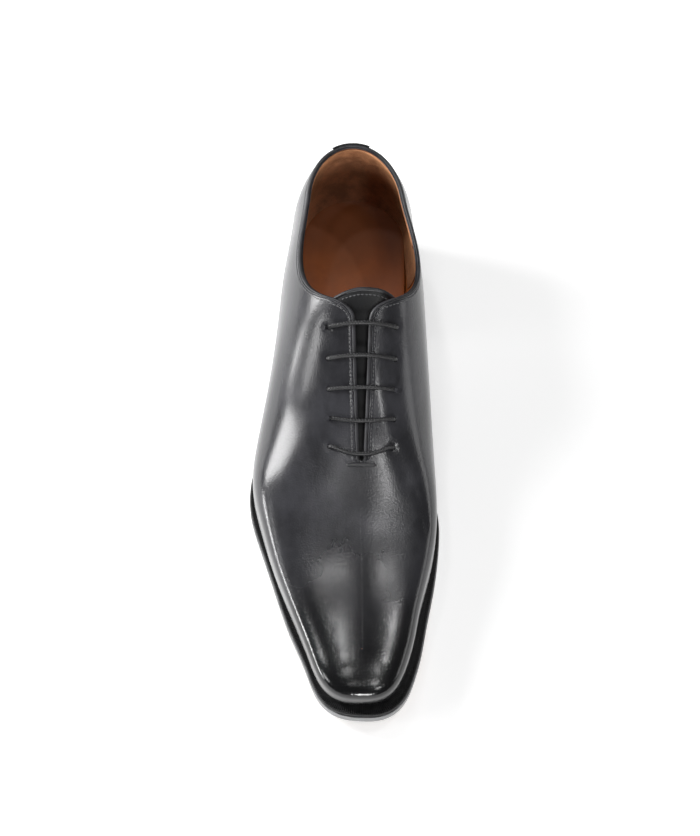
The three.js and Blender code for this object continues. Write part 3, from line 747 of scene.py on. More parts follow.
@lru_cache(maxsize=None)
def dark_calf_material():
    """Calf of the tongue and heel tab: nearly black, with the same grain."""
    material, tree, shader = new_material("dark_calf")
    place = object_place(tree)
    cloud = noise(tree, place, 60, 4).outputs["Fac"]
    deep = tuple(0.7 * part for part in settings().calf_dark)
    light = tuple(1.9 * part for part in settings().calf_dark)
    colour = mix(tree, fit(tree, cloud, 0.35, 0.65), deep, light)
    look(tree, shader, colour, fit(tree, cloud, 0.3, 0.7, 0.36, 0.46))
    surface(shader, specular=0.3, coat=0.05, coat_roughness=0.3)
    bump(tree, shader, [
        (grain(tree, place, 0.9 * MM), 0.4, 0.04 * MM),
        (noise(tree, place, 2400, 2).outputs["Fac"], 0.3, 0.02 * MM),
    ])
    return material


@lru_cache(maxsize=None)
def bead_material():
    """The rolled edge: slate-grey calf, satin, rubbed lighter in places."""
    material, tree, shader = new_material("rolled_edge")
    place = object_place(tree)
    cloud = noise(tree, place, 150, 4).outputs["Fac"]
    deep = tuple(0.5 * part for part in settings().calf)
    colour = mix(tree, fit(tree, cloud, 0.35, 0.65), deep, settings().calf)
    look(tree, shader, colour, fit(tree, cloud, 0.3, 0.7, 0.38, 0.5))
    bump(tree, shader, [
        (grain(tree, place, 0.8 * MM), 0.5, 0.05 * MM),
        (noise(tree, place, 2400, 2).outputs["Fac"], 0.4, 0.03 * MM),
    ])
    return material


@lru_cache(maxsize=None)
def lining_material():
    """Smooth tan lining leather, a little darker in streaks, with painted shade darkening it towards the
    heel.
    """
    material, tree, shader = new_material("lining_leather")
    place = object_place(tree)
    cloud = noise(tree, place, 40, 4).outputs["Fac"]
    deep = tuple(0.72 * part for part in settings().lining)
    light = tuple(1.15 * part for part in settings().lining)
    tan = mix(tree, fit(tree, cloud, 0.35, 0.68), deep, light)
    # Painted shade: the lining is painted much darker towards the heel, deep inside the shoe.
    painted_heel_shade = tuple(0.3 * part for part in settings().lining)
    axes = add(tree, "ShaderNodeSeparateXYZ", {"Vector": place}).outputs
    colour = mix(tree, fit(tree, axes["Y"], -0.045, 0.012, 0.0, 0.85), tan, painted_heel_shade)
    look(tree, shader, colour, fit(tree, cloud, 0.3, 0.7, 0.48, 0.58))
    bump(tree, shader, [
        (grain(tree, place, 0.7 * MM), 0.4, 0.03 * MM),
        (noise(tree, place, 1900, 2).outputs["Fac"], 0.3, 0.02 * MM),
    ])
    return material


@lru_cache(maxsize=None)
def suede_material():
    """Napped brown suede, with lighter and darker brushed patches, and painted light as a lighter tan on its
    upper part.
    """
    material, tree, shader = new_material("suede")
    place = object_place(tree)
    patches = noise(tree, place, 90, 4, 0.65).outputs["Fac"]
    nap = noise(tree, place, 2200, 4, 0.7).outputs["Fac"]
    deep = tuple(0.55 * part for part in settings().suede)
    light = tuple(1.3 * part for part in settings().suede)
    shade = maths(tree, "ADD", maths(tree, "MULTIPLY", patches, 0.6), maths(tree, "MULTIPLY", nap, 0.4))
    brushed = mix(tree, fit(tree, shade, 0.36, 0.64), deep, light)
    # Painted light: above about 90 mm the suede is painted a lighter tan, where the lamps fall on the heel
    # lining's upper part.
    height = add(tree, "ShaderNodeSeparateXYZ", {"Vector": place}).outputs["Z"]
    painted_light_height = maths(tree, "ADD", height, maths(tree, "MULTIPLY", patches, 0.022))
    painted_light_top = fit(tree, painted_light_height, 0.088, 0.103)
    rubbed = mix(tree, fit(tree, shade, 0.36, 0.64), light, (0.62, 0.30, 0.15))
    look(tree, shader, mix(tree, painted_light_top, brushed, rubbed))
    surface(shader, roughness=0.95, specular=0.2)
    surface(shader, sheen=0.5, sheen_roughness=0.5, sheen_tint=(0.75, 0.42, 0.2, 1))
    bump(tree, shader, [(nap, 0.8, 0.12 * MM), (patches, 0.4, 0.2 * MM)])
    return material


@lru_cache(maxsize=None)
def thread_material():
    """Twisted dark grey thread, on its own UV map."""
    material, tree, shader = new_material("thread")
    uv = add(tree, "ShaderNodeTexCoord").outputs["UV"]
    axes = add(tree, "ShaderNodeSeparateXYZ", {"Vector": uv}).outputs
    twist = maths(tree, "SINE", maths(tree, "MULTIPLY", maths(tree, "ADD", axes["X"], axes["Y"]), 12.6))
    # The twist is painted lighter on each crest and darker in each groove: painted highlight and painted
    # shade.
    shade = fit(tree, twist, -1, 1)
    look(tree, shader, ramp(tree, shade, 0.0, 1.0, (0.02, 0.02, 0.022, 1), (0.12, 0.12, 0.125, 1)))
    surface(shader, roughness=0.5, coat=0.2, coat_roughness=0.35)
    bump(tree, shader, [(twist, 0.5, 0.05 * MM)])
    return material


@lru_cache(maxsize=None)
def cord_material():
    """Round waxed cord, braided, on its own UV map of turns round and millimetres along."""
    material, tree, shader = new_material("waxed_cord")
    uv = add(tree, "ShaderNodeTexCoord").outputs["UV"]
    axes = add(tree, "ShaderNodeSeparateXYZ", {"Vector": uv}).outputs
    strands = maths(tree, "MULTIPLY", axes["X"], 8 * math.pi)
    climb = maths(tree, "MULTIPLY", axes["Y"], 2 * math.pi / 1.5)
    left = maths(tree, "SINE", maths(tree, "ADD", strands, climb))
    right = maths(tree, "SINE", maths(tree, "SUBTRACT", strands, climb))
    braid = maths(tree, "MAXIMUM", left, right)
    # Painted shade: the grooves between the strands are painted darker.
    shade = fit(tree, braid, -0.6, 1.0)
    deep = tuple(0.2 * part for part in settings().cord)
    look(tree, shader, mix(tree, shade, deep, settings().cord))
    surface(shader, roughness=0.42, coat=0.3, coat_roughness=0.3)
    bump(tree, shader, [(braid, 0.9, 0.16 * MM)])
    return material


@lru_cache(maxsize=None)
def sole_material():
    """The outsole: grey dyed edge, with fine lines along it, and a plain brown walking side."""
    material, tree, shader = new_material("sole_leather")
    place = object_place(tree)
    facing = add(tree, "ShaderNodeNewGeometry").outputs["True Normal"]
    down = add(tree, "ShaderNodeSeparateXYZ", {"Vector": facing}).outputs["Z"]
    under = fit(tree, down, -0.97, -0.995)
    cloud = noise(tree, place, 70, 4).outputs["Fac"]
    lines = noise(tree, object_place(tree, (0.05, 0.05, 1)), 2400, 3).outputs["Fac"]
    deep = tuple(0.6 * part for part in settings().sole_edge)
    edge = mix(tree, fit(tree, lines, 0.35, 0.65), deep, settings().sole_edge)
    walk = ramp(tree, cloud, 0.3, 0.7, (0.16, 0.085, 0.04, 1), (0.24, 0.135, 0.07, 1))
    colour = mix(tree, under, edge, walk)
    look(tree, shader, colour, fit(tree, cloud, 0.3, 0.7, 0.36, 0.5))
    bump(tree, shader, [
        (lines, 0.35, 0.04 * MM),
        (noise(tree, place, 1500, 3).outputs["Fac"], 0.25, 0.03 * MM),
    ])
    return material


@lru_cache(maxsize=None)
def welt_material():
    """The welt: black leather, waxed on its ribs."""
    material, tree, shader = new_material("welt_leather")
    place = object_place(tree)
    cloud = noise(tree, place, 300, 4).outputs["Fac"]
    colour = ramp(tree, cloud, 0.3, 0.7, (0.002, 0.002, 0.0022, 1), (0.008, 0.008, 0.009, 1))
    look(tree, shader, colour, fit(tree, cloud, 0.3, 0.7, 0.42, 0.58))
    surface(shader, specular=0.3)
    bump(tree, shader, [(noise(tree, place, 1800, 3).outputs["Fac"], 0.4, 0.04 * MM)])
    return material


@lru_cache(maxsize=None)
def heel_material():
    """The heel's stacked leather: black dye with faint fibres along each layer."""
    material, tree, shader = new_material("heel_leather")
    place = object_place(tree, (0.06, 0.06, 1))
    fibres = noise(tree, place, 1700, 4, 0.6).outputs["Fac"]
    colour = ramp(tree, fibres, 0.3, 0.72, (0.008, 0.008, 0.009, 1), (0.03, 0.029, 0.03, 1))
    look(tree, shader, colour, fit(tree, fibres, 0.3, 0.7, 0.3, 0.42))
    surface(shader, coat=0.25, coat_roughness=0.2)
    bump(tree, shader, [(fibres, 0.3, 0.05 * MM)])
    return material


@lru_cache(maxsize=None)
def rubber_material():
    """The top lift's matte rubber."""
    material, tree, shader = new_material("top_lift_rubber")
    place = object_place(tree)
    cloud = noise(tree, place, 500, 4).outputs["Fac"]
    look(tree, shader, ramp(tree, cloud, 0.3, 0.7, (0.010, 0.010, 0.010, 1), (0.018, 0.018, 0.018, 1)))
    surface(shader, roughness=0.72)
    bump(tree, shader, [(noise(tree, place, 2600, 3).outputs["Fac"], 0.5, 0.05 * MM)])
    return material


# The upper: rows over the outer side, the rolled edge and the lining
OUTER_LOWER = 12
OUTER_UPPER = 46
INNER_ROWS = 26
DIMPLE_DEPTH = 0.5
DIMPLE_REACH = 2.2
# The fold beside the edge, as distance from the edge and height over the leather, in millimetres
FOLD = (
    (5.2, 0.0), (4.2, 0.0), (3.5, 0.05), (3.2, -0.06), (2.9, -0.16), (2.6, -0.06), (2.3, 0.1), (1.9, 0.18),
    (1.65, 0.12), (1.5, -0.14), (1.35, 0.1), (1.15, 0.3), (0.85, 0.42), (0.5, 0.38), (0.2, 0.24), (0.0, 0.1),
)
# The rolled edge's profile, as depth into the wall and height above its end, in millimetres
ROLL = (
    (0.15, 0.2), (0.4, 0.36), (0.7, 0.42), (0.95, 0.3), (1.1, 0.1), (1.2, -0.15),
    (1.3, -0.2), (1.4, 0.05), (1.6, 0.2), (1.82, 0.14), (1.98, -0.05),
)
# The vamp's crown and the leather's soft folds, each with its height and half width in millimetres and the
# points it passes
FOLDS = (
    (0.95, 14.0, ((5.0, -168.0, 46.0), (4.5, -176.1, 43.7), (5.4, -217.2, 37.5), (6.4, -236.0, 36.8))),
    (0.35, 4.5, ((10.6, -92.1, 82.2), (12.6, -100.4, 76.2), (15.2, -109.7, 69.9), (17.8, -118.4, 64.5),
                 (20.2, -125.0, 60.9))),
    (-0.35, 3.6, ((22.5, -131.5, 57.8), (25.2, -137.2, 55.0), (27.7, -143.6, 52.4), (29.7, -150.1, 49.8))),
    (-0.35, 2.2, ((32.5, -151.5, 48.6), (35.1, -156.5, 46.1), (37.1, -162.1, 43.6), (38.6, -169.1, 40.6))),
)
UPPER_STATIONS = spaced(
    (0, 1, 30),
    (1, station_at(THROAT_END), 46),
    (station_at(THROAT_END), station_at(THROAT_END - THROAT_HALF_END), 2),
    (station_at(THROAT_END - THROAT_HALF_END), station_at(FACING_TOP + CORNER_AHEAD), 34),
    (station_at(FACING_TOP + CORNER_AHEAD), station_at(FACING_TOP - CORNER_BEHIND), 40),
    (station_at(FACING_TOP - CORNER_BEHIND), 2, 24),
    (2, 3, 34),
)


def eyelet_dimple(point):
    """How deep the lace has pulled the leather in, at a point near an eyelet."""
    nearest = min((point - hole).length for hole in eyelet_points())
    return DIMPLE_DEPTH * math.exp(-((nearest / DIMPLE_REACH) ** 2))


def fold_height(point):
    """How far the folds lift the leather at a point; each fades out past its ends."""
    height = 0.0
    for lift, spread, route in FOLDS:
        nearest = 1e9
        for here, there in zip(route, route[1:]):
            start, step = Vector(here), Vector(there) - Vector(here)
            part = clamp((point - start).dot(step) / step.length_squared)
            nearest = min(nearest, (point - start - step * part).length)
        height += lift * math.exp(-((nearest / spread) ** 2))
    return height


@lru_cache(maxsize=None)
def eyelet_points():
    return tuple(
        facing_point(side, eyelet_at(row), eyelet_half(eyelet_at(row)), 0)
        for side in (LATERAL, MEDIAL) for row in range(EYELETS)
    )


def upper_column(side, station):
    """All the points of one column: margin, outer side, rolled edge, lining and margin again."""
    end = end_level(side, station)
    pace = (upper_point(side, station, end) - upper_point(side, station, end - 0.01)).length / 0.01
    fold_end = end - FOLD[0][0] / pace
    outer = [LOWER_PART * i / OUTER_LOWER for i in range(1, OUTER_LOWER + 1)]
    outer += [lerp(LOWER_PART, fold_end, i / OUTER_UPPER) for i in range(1, OUTER_UPPER)]
    inner = [lerp(end, LOWER_PART, (i / INNER_ROWS) ** 1.3) for i in range(INNER_ROWS + 1)]
    inner += [LOWER_PART * (1 - i / 4) for i in range(1, 4)]
    foot = upper_point(side, station, 0)
    out = outward(side, station)
    above = upper_point(side, station, STEP) - foot
    slant = math.atan2(above.z, above.x * out.x + above.y * out.y)

    def margin(inside, lift):
        point = plan_point(side, station, -inside)
        return Vector((point.x, point.y, feather_at(point.y) + lift))

    points = [margin(LASTED_MARGIN, UPPER_WALL), margin(LASTED_MARGIN, 0), margin(LASTED_MARGIN / 2, 0), foot]
    points += [upper_point(side, station, level) for level in outer]
    free = 0.0 if end >= 1 else 1.0
    points += [upper_off(side, station, end - beside / pace, height * free) for beside, height in FOLD]
    tip = upper_point(side, station, end)
    normal = upper_normal(side, station, end)
    climb = (tip - upper_point(side, station, end - 10 * STEP)).normalized()
    points += [tip - normal * depth + climb * height for depth, height in ROLL]
    points += [upper_off(side, station, level, -UPPER_WALL) for level in inner]
    points += [margin(UPPER_WALL * math.tan(slant / 2), UPPER_WALL), margin(LASTED_MARGIN, UPPER_WALL)]
    return points


FOLD_FROM = 4 + OUTER_LOWER + OUTER_UPPER - 1
BEAD_FROM = FOLD_FROM + 9
ROLL_FROM = FOLD_FROM + len(FOLD) - 1
ROLL_TO = ROLL_FROM + len(ROLL) + 1


def edge_line(side):
    """The upper's open edge on one side, from the throat's end to the heel: point and outward normal."""
    ends = [(station, end_level(side, station)) for station in UPPER_STATIONS]
    return [(upper_point(side, *end), upper_normal(side, *end)) for end in ends if end[1] < 1]


class OXFORD_OT_upper(bpy.types.Operator):
    """Make the one-piece upper with its rolled edge and its lining"""

    bl_idname = "oxford.upper"
    bl_label = "Upper"

    def execute(self, context):
        stations = round_stations(UPPER_STATIONS)
        columns = [upper_column(*side_of(signed)) for signed in stations]
        joined = [end_level(*side_of(signed)) >= 1 for signed in stations]
        count = len(columns[0])
        piece = sheet("upper_leather", len(columns), count, lambda column, row: columns[column][row])
        mesh = piece.data
        spots = {}
        for vertex in mesh.vertices:
            spots[vertex.index] = divmod(vertex.index, len(columns))[::-1]
        doomed = []
        for face in mesh.polygons:
            column = min(spots[i][0] for i in face.vertices)
            row = min(spots[i][1] for i in face.vertices)
            bead = not (joined[column] and joined[column + 1]) and BEAD_FROM <= row < ROLL_TO
            face.material_index = 2 if not 3 <= row < ROLL_TO else 1 if bead else 0
            if ROLL_FROM <= row < ROLL_TO and joined[column] and joined[column + 1]:
                doomed.append(face.index)
        shape_leather(mesh, spots)
        delete_faces(piece, doomed)
        close_up(piece)
        cut_eyelets(piece)
        materials = [calf_material(), bead_material(), lining_material()]
        finish(piece, materials, math.radians(50), ["upper"])
        return {"FINISHED"}


def shape_leather(mesh, spots):
    """Presses the leather in round each eyelet and lays the folds, along normals read beforehand."""
    moves = {}
    for vertex in mesh.vertices:
        if OUTER_LOWER < spots[vertex.index][1] <= ROLL_FROM:
            place = vertex.co / MM
            moves[vertex.index] = vertex.normal * (eyelet_dimple(place) - fold_height(place)) * MM
    for index, move in moves.items():
        mesh.vertices[index].co -= move


def cut_eyelets(piece):
    """Cuts the ten eyelets with round pins."""
    pins = []
    for side in (LATERAL, MEDIAL):
        for row in range(EYELETS):
            top = facing_point(side, eyelet_at(row), eyelet_half(eyelet_at(row)), 3 * UPPER_WALL)
            bottom = facing_point(side, eyelet_at(row), eyelet_half(eyelet_at(row)), -3 * UPPER_WALL)
            along = top - bottom
            bpy.ops.object.select_all(action="DESELECT")
            bpy.ops.mesh.primitive_cylinder_add(
                vertices=24, radius=EYELET_RADIUS * MM, depth=along.length * MM,
                location=(top + bottom) / 2 * MM, rotation=along.to_track_quat("Z", "Y").to_euler())
            pins.append(bpy.context.object)
    cutter = join(pins, "eyelet_pins")
    modify(piece, "BOOLEAN", object=cutter, operation="DIFFERENCE", solver="EXACT")
    bpy.data.objects.remove(cutter)


def join(pieces, name):
    """Joins pieces into one, with its place in its mesh."""
    bpy.ops.object.select_all(action="DESELECT")
    for piece in pieces:
        piece.select_set(True)
    bpy.context.view_layer.objects.active = pieces[0]
    bpy.ops.object.join()
    joined = bpy.context.object
    joined.name = joined.data.name = name
    bpy.ops.object.transform_apply(location=True, rotation=True, scale=True)
    return joined


# Stitches
STITCHES_BACK_TO = 76
STITCH_WIDTH = 0.75
STITCH_HEIGHT = 0.45


def along_line(points, pitch):
    """Places along a line of points, a pitch apart, each with its direction."""
    places = []
    carried = pitch / 2
    for here, there in zip(points, points[1:]):
        step = there - here
        length = step.length
        while carried <= length:
            places.append((here + step * (carried / length), step.normalized()))
            carried += pitch
        carried -= length
    return places


def stitch_row(name, line, seat, length):
    """A row of stitches over a line of points in millimetres, each seated on a piece."""
    bpy.ops.object.select_all(action="DESELECT")
    bpy.ops.mesh.primitive_uv_sphere_add(segments=8, ring_count=6, radius=1)
    first = bpy.context.object
    stitches = []
    for point, direction in along_line(line, settings().stitch_pitch / MM):
        _, place, normal, _ = seat.closest_point_on_mesh(point * MM)
        across = direction.cross(normal).normalized()
        turn = Matrix((across * STITCH_WIDTH, normal * STITCH_HEIGHT, -direction * length)).transposed() * 0.5
        stitch = first.copy()
        stitch.data = first.data.copy()
        stitch.data.transform((turn * MM).to_4x4())
        stitch.data.transform(Matrix.Translation(place + normal * 0.02 * MM))
        bpy.context.scene.collection.objects.link(stitch)
        stitches.append(stitch)
    bpy.data.objects.remove(first)
    return join(stitches, name)


def inset_line(side, inside, back_to):
    """A line on the upper beside its edge, this far inside, from the throat's end back to a distance."""
    edge = [item for item in edge_line(side) if HEEL_BACK_Y - item[0].y > back_to]
    line = []
    for i, (point, normal) in enumerate(edge):
        before = edge[max(i - 1, 0)][0]
        after = edge[min(i + 1, len(edge) - 1)][0]
        inwards = normal.cross(after - before).normalized() * -side
        line.append(point + inwards * inside)
    return line


class OXFORD_OT_stitches(bpy.types.Operator):
    """Sew the rows along the throat, the topline, the tongue and the heel tab"""

    bl_idname = "oxford.stitches"
    bl_label = "Stitches"

    def execute(self, context):
        upper = bpy.data.objects["upper_leather"]
        length = settings().stitch_length / MM
        rows = []
        for side, name in ((LATERAL, "lateral"), (MEDIAL, "medial")):
            line = inset_line(side, settings().stitch_inside / MM, STITCHES_BACK_TO)
            rows.append(stitch_row(f"edge_stitches_{name}", line, upper, length))
        for row in rows:
            finish(row, [thread_material()])
        tongue = bpy.data.objects["tongue_leather"]
        line = [tongue_point(TONGUE_TOP + 3.0, share / 20, 0) for share in range(-19, 20)]
        finish(stitch_row("tongue_stitches", line, tongue, length), [thread_material()])
        tab = bpy.data.objects["heel_tab_leather"]
        line = [tab_point(part / 20, -0.82, GAP) for part in range(1, 19)]
        line += [tab_point(0.93, share / 10, GAP) for share in range(-8, 9)]
        line += [tab_point(part / 20, 0.82, GAP) for part in range(18, 0, -1)]
        finish(stitch_row("heel_tab_stitches", line, tab, length), [thread_material()])
        return {"FINISHED"}


BAR_TACK_AT = THROAT_END + 1.8
BAR_TACK_HALF = 7.6
BAR_TACK_RADIUS = 0.85


class OXFORD_OT_bar_tack(bpy.types.Operator):
    """Sew the short bar across the throat's end"""

    bl_idname = "oxford.bar_tack"
    bl_label = "Bar tack"

    def execute(self, context):
        def core(share):
            side = LATERAL if share < 0 else MEDIAL
            return facing_point(side, BAR_TACK_AT, abs(share) * BAR_TACK_HALF, 0.25)

        route = [core(i / 12) for i in range(-12, 13)]
        piece = tube("bar_tack", route, BAR_TACK_RADIUS, 12, 12)
        finish(piece, [satin_material()])
        return {"FINISHED"}


@lru_cache(maxsize=None)
def satin_material():
    """Dense black thread laid side by side round the bar tack."""
    material, tree, shader = new_material("satin_thread")
    uv = add(tree, "ShaderNodeTexCoord").outputs["UV"]
    along = add(tree, "ShaderNodeSeparateXYZ", {"Vector": uv}).outputs["Y"]
    threads = maths(tree, "SINE", maths(tree, "MULTIPLY", along, 2 * math.pi / 0.45))
    # Each thread is painted lighter on its crest and darker where it meets the next: painted highlight and
    # painted shade.
    shade = fit(tree, threads, -1, 1)
    look(tree, shader, ramp(tree, shade, 0.0, 1.0, (0.006, 0.006, 0.007, 1), (0.03, 0.03, 0.033, 1)))
    surface(shader, roughness=0.45, coat=0.2, coat_roughness=0.3)
    bump(tree, shader, [(threads, 0.6, 0.08 * MM)])
    return material


# Round cords
def tube(name, route, radius, sides, cap_steps=0):
    """A closed round tube along a route in millimetres; its UV map is turns round and millimetres along."""
    tangents = []
    for i in range(len(route)):
        tangents.append((route[min(i + 1, len(route) - 1)] - route[max(i - 1, 0)]).normalized())
    across = tangents[0].orthogonal().normalized()
    frames = []
    lengths = [0.0]
    for i, tangent in enumerate(tangents):
        if i:
            across = (across - tangent * across.dot(tangent)).normalized()
            lengths.append(lengths[-1] + (route[i] - route[i - 1]).length)
        frames.append((across, tangent.cross(across)))

    def taper(i):
        if not cap_steps:
            return radius
        end = min(lengths[i], lengths[-1] - lengths[i]) / radius
        return radius * math.sqrt(clamp(1 - (1 - clamp(end)) ** 2, 0.02, 1))

    def place(column, row):
        turn = 2 * math.pi * row / sides
        one, other = frames[column]
        return route[column] + (one * math.cos(turn) + other * math.sin(turn)) * taper(column)

    piece = sheet(name, len(route), sides + 1, place)
    uv = piece.data.uv_layers.active.data
    for corner in uv:
        column = round(corner.uv.x * (len(route) - 1))
        corner.uv = (corner.uv.y, lengths[column])
    close_up(piece, caps=True)
    return piece


def catmull(points, steps):
    """A centripetal curve through points, with this many steps a span."""
    ends = [points[0] * 2 - points[1], *points, points[-1] * 2 - points[-2]]
    curve = []
    for p0, p1, p2, p3 in zip(ends, ends[1:], ends[2:], ends[3:]):
        d1, d2, d3 = ((b - a).length ** 0.5 for a, b in ((p0, p1), (p1, p2), (p2, p3)))
        m1 = ((p1 - p0) / d1 - (p2 - p0) / (d1 + d2) + (p2 - p1) / d2) * d2
        m2 = ((p2 - p1) / d2 - (p3 - p1) / (d2 + d3) + (p3 - p2) / d3) * d2
        for i in range(steps):
            t = i / steps
            curve.append(
                p1 * (2 * t**3 - 3 * t**2 + 1) + m1 * (t**3 - 2 * t**2 + t)
                + p2 * (3 * t**2 - 2 * t**3) + m2 * (t**3 - t**2))
    return [*curve, points[-1]]


def lace_off():
    return settings().lace_radius / MM + 0.08


def bend_points():
    """Out of an eyelet to a straight stretch, as distances along and off."""
    turns = [math.radians(turn) for turn in (35, 65, 90)]
    return [
        (LACE_BEND * (1 - math.cos(turn)), lace_off() - LACE_BEND * (1 - math.sin(turn)))
        for turn in turns
    ]


def bar_route(row, start):
    """A bar of the lace: out of one eyelet, over both facings and into the other."""
    distance, half = eyelet_at(row), eyelet_half(eyelet_at(row))
    flat = [(beside, lace_off()) for beside in spaced((half - LACE_BEND, 0, 3))[1:-1]]

    def point(side, beside, off):
        sag = LACE_SAG * BAR_SAGS[row] * max(1 - (beside / (half - LACE_BEND)) ** 2, 0)
        return facing_point(side, distance + sag, beside, off)

    def half_bar(side):
        return [point(side, half - along, off) for along, off in bend_points()] + [
            point(side, beside, off) for beside, off in flat]

    return [*half_bar(start), point(start, 0, lace_off()), *reversed(half_bar(-start))]


def under_leg(side, row, heading, length, aside):
    """Down an eyelet and along under the facing, drifting aside from the line of the eyelets."""
    def point(along, lift):
        distance = eyelet_at(row) + heading * along
        beside = eyelet_half(distance) + aside * along / length
        return facing_point(side, distance, beside, lift - UPPER_WALL)

    legs = [point(0, UPPER_WALL / 2)]
    legs += [point(along, -off) for along, off in bend_points()]
    return legs + [point(along, -lace_off()) for along in spaced((LACE_BEND, length, 3))[1:]]


def under_run(side, start, end, aside):
    reach = (eyelet_at(end) - eyelet_at(start)) / 2
    heading, length = math.copysign(1, reach), abs(reach)
    first = under_leg(side, start, heading, length, aside)
    return first + under_leg(side, end, -heading, length, aside)[::-1][1:]


class OXFORD_OT_lace(bpy.types.Operator):
    """Thread the lace through the eyelets, five straight bars on top"""

    bl_idname = "oxford.lace"
    bl_label = "Lace"

    def execute(self, context):
        route = [
            *under_leg(LATERAL, 1, -1, LACE_END, LACE_ASIDE)[::-1],
            *bar_route(1, LATERAL),
            *under_run(MEDIAL, 1, 3, LACE_ASIDE),
            *bar_route(3, MEDIAL),
            *under_run(LATERAL, 3, 4, 0),
            *bar_route(4, LATERAL),
            *under_run(MEDIAL, 4, 2, -LACE_ASIDE),
            *bar_route(2, MEDIAL),
            *under_run(LATERAL, 2, 0, -LACE_ASIDE),
            *bar_route(0, LATERAL),
            *under_leg(MEDIAL, 0, 1, LACE_END / 2, 0),
        ]
        piece = tube("lace_cord", catmull(route, 5), settings().lace_radius / MM, 16)
        finish(piece, [cord_material()], stands_for=["lace"])
        return {"FINISHED"}


# Tongue and heel tab
def tongue_point(at, share, lift):
    """A point of the tongue's outer side: share runs from -1 at its lateral edge to 1."""
    part = (at - TONGUE_TOP) / (TONGUE_END - TONGUE_TOP)
    half = lerp(TONGUE_HALF_TOP, TONGUE_HALF_END, part)
    side = LATERAL if share < 0 else MEDIAL
    distance = at + TONGUE_ARC * share * share * (1 - part) ** 2
    rise = smooth((TONGUE_END - TONGUE_SEAT - at) / TONGUE_JOIN)
    depth = UPPER_WALL + lerp(GAP, LACE_ROOM, rise)
    return facing_point(side, distance, abs(share) * half, lift - depth)


class OXFORD_OT_tongue(bpy.types.Operator):
    """Make the tongue, with its curved top and rounded edges"""

    bl_idname = "oxford.tongue"
    bl_label = "Tongue"

    def execute(self, context):
        across, rows = 40, 60

        def place(column, row):
            share = 2 * column / across - 1
            return tongue_point(lerp(TONGUE_TOP, TONGUE_END, row / rows), share, 0)

        piece = sheet("tongue_leather", across + 1, rows + 1, place)
        active(piece)
        bpy.ops.object.mode_set(mode="EDIT")
        bpy.ops.mesh.select_all(action="SELECT")
        bpy.ops.mesh.normals_make_consistent(inside=False)
        bpy.ops.object.mode_set(mode="OBJECT")
        turn_to(piece, Z, 1, 0)
        modify(piece, "SOLIDIFY", thickness=TONGUE * MM, offset=-1)
        round_edges(piece, 0.6, 3)
        finish(piece, [dark_calf_material()], stands_for=["tongue"])
        edge = [tongue_point(TONGUE_TOP + 0.3, share / 30, -0.35 * TONGUE) for share in range(-30, 31)]
        piping = tube("tongue_piping", edge, PIPING_RADIUS, 16, 4)
        finish(piping, [bead_material()])
        return {"FINISHED"}


def tab_point(part, share, lift):
    """A point of the heel tab: part runs from its top to its end and share across it."""
    top = end_level(MEDIAL, 3)
    top_z = upper_point(MEDIAL, 3, top).z
    bottom = boundary(LOWER_PART, 1, lambda level: upper_point(MEDIAL, 3, level).z < top_z - TAB_HEIGHT)
    side = LATERAL if share < 0 else MEDIAL
    level = lerp(top, bottom, part)
    half = abs(share) * lerp(TAB_HALF_TOP, TAB_HALF_END, part)
    station = boundary(2, 3, lambda at: side * upper_point(side, at, level).x > half) if half > 0 else 3
    return upper_off(side, station, level, lift)


class OXFORD_OT_heel_tab(bpy.types.Operator):
    """Lay the narrow strip over the back seam"""

    bl_idname = "oxford.heel_tab"
    bl_label = "Heel tab"

    def execute(self, context):
        across, rows = 20, 30
        piece = sheet(
            "heel_tab_leather", across + 1, rows + 1,
            lambda column, row: tab_point(row / rows, 2 * column / across - 1, 0.1))
        turn_to(piece, Y, 1, 0)
        modify(piece, "SOLIDIFY", thickness=TAB_THICK * MM, offset=1)
        round_edges(piece, 0.35, 3)
        finish(piece, [dark_calf_material()], stands_for=["heel_tab"])
        return {"FINISHED"}


# Inside: the heel's suede and the sock lining
SUEDE_FRONT = 62
SUEDE_THICK = 0.6
SOCK_DISH = 0.6
SOCK_RIM = 12


class OXFORD_OT_heel_lining(bpy.types.Operator):
    """Line the heel with suede"""

    bl_idname = "oxford.heel_lining"
    bl_label = "Heel lining"

    def execute(self, context):
        stations = spaced((station_at(SUEDE_FRONT), 2, 20), (2, 3, 30))
        line = [(LATERAL, station) for station in stations]
        line += [(MEDIAL, station) for station in stations[-2:0:-1]]
        rows = 40

        def place(column, row):
            side, station = line[column]
            end = end_level(side, station)
            level = lerp(end - 0.012, 0.07, row / rows)
            return upper_off(side, station, level, -UPPER_WALL - 0.05)

        piece = sheet("heel_suede", len(line), rows + 1, place)
        turn_to(piece, Y, -1, len(line) // 2)
        modify(piece, "SOLIDIFY", thickness=SUEDE_THICK * MM, offset=1)
        round_edges(piece, 0.25, 2)
        finish(piece, [suede_material()])
        return {"FINISHED"}


HEEL_SPANS = ((station_at(HEEL_LENGTH), 2, 16), (2, 3, 30))
PLATE_STATIONS = spaced((0, 1, 30), (1, station_at(HEEL_LENGTH), 80), *HEEL_SPANS)


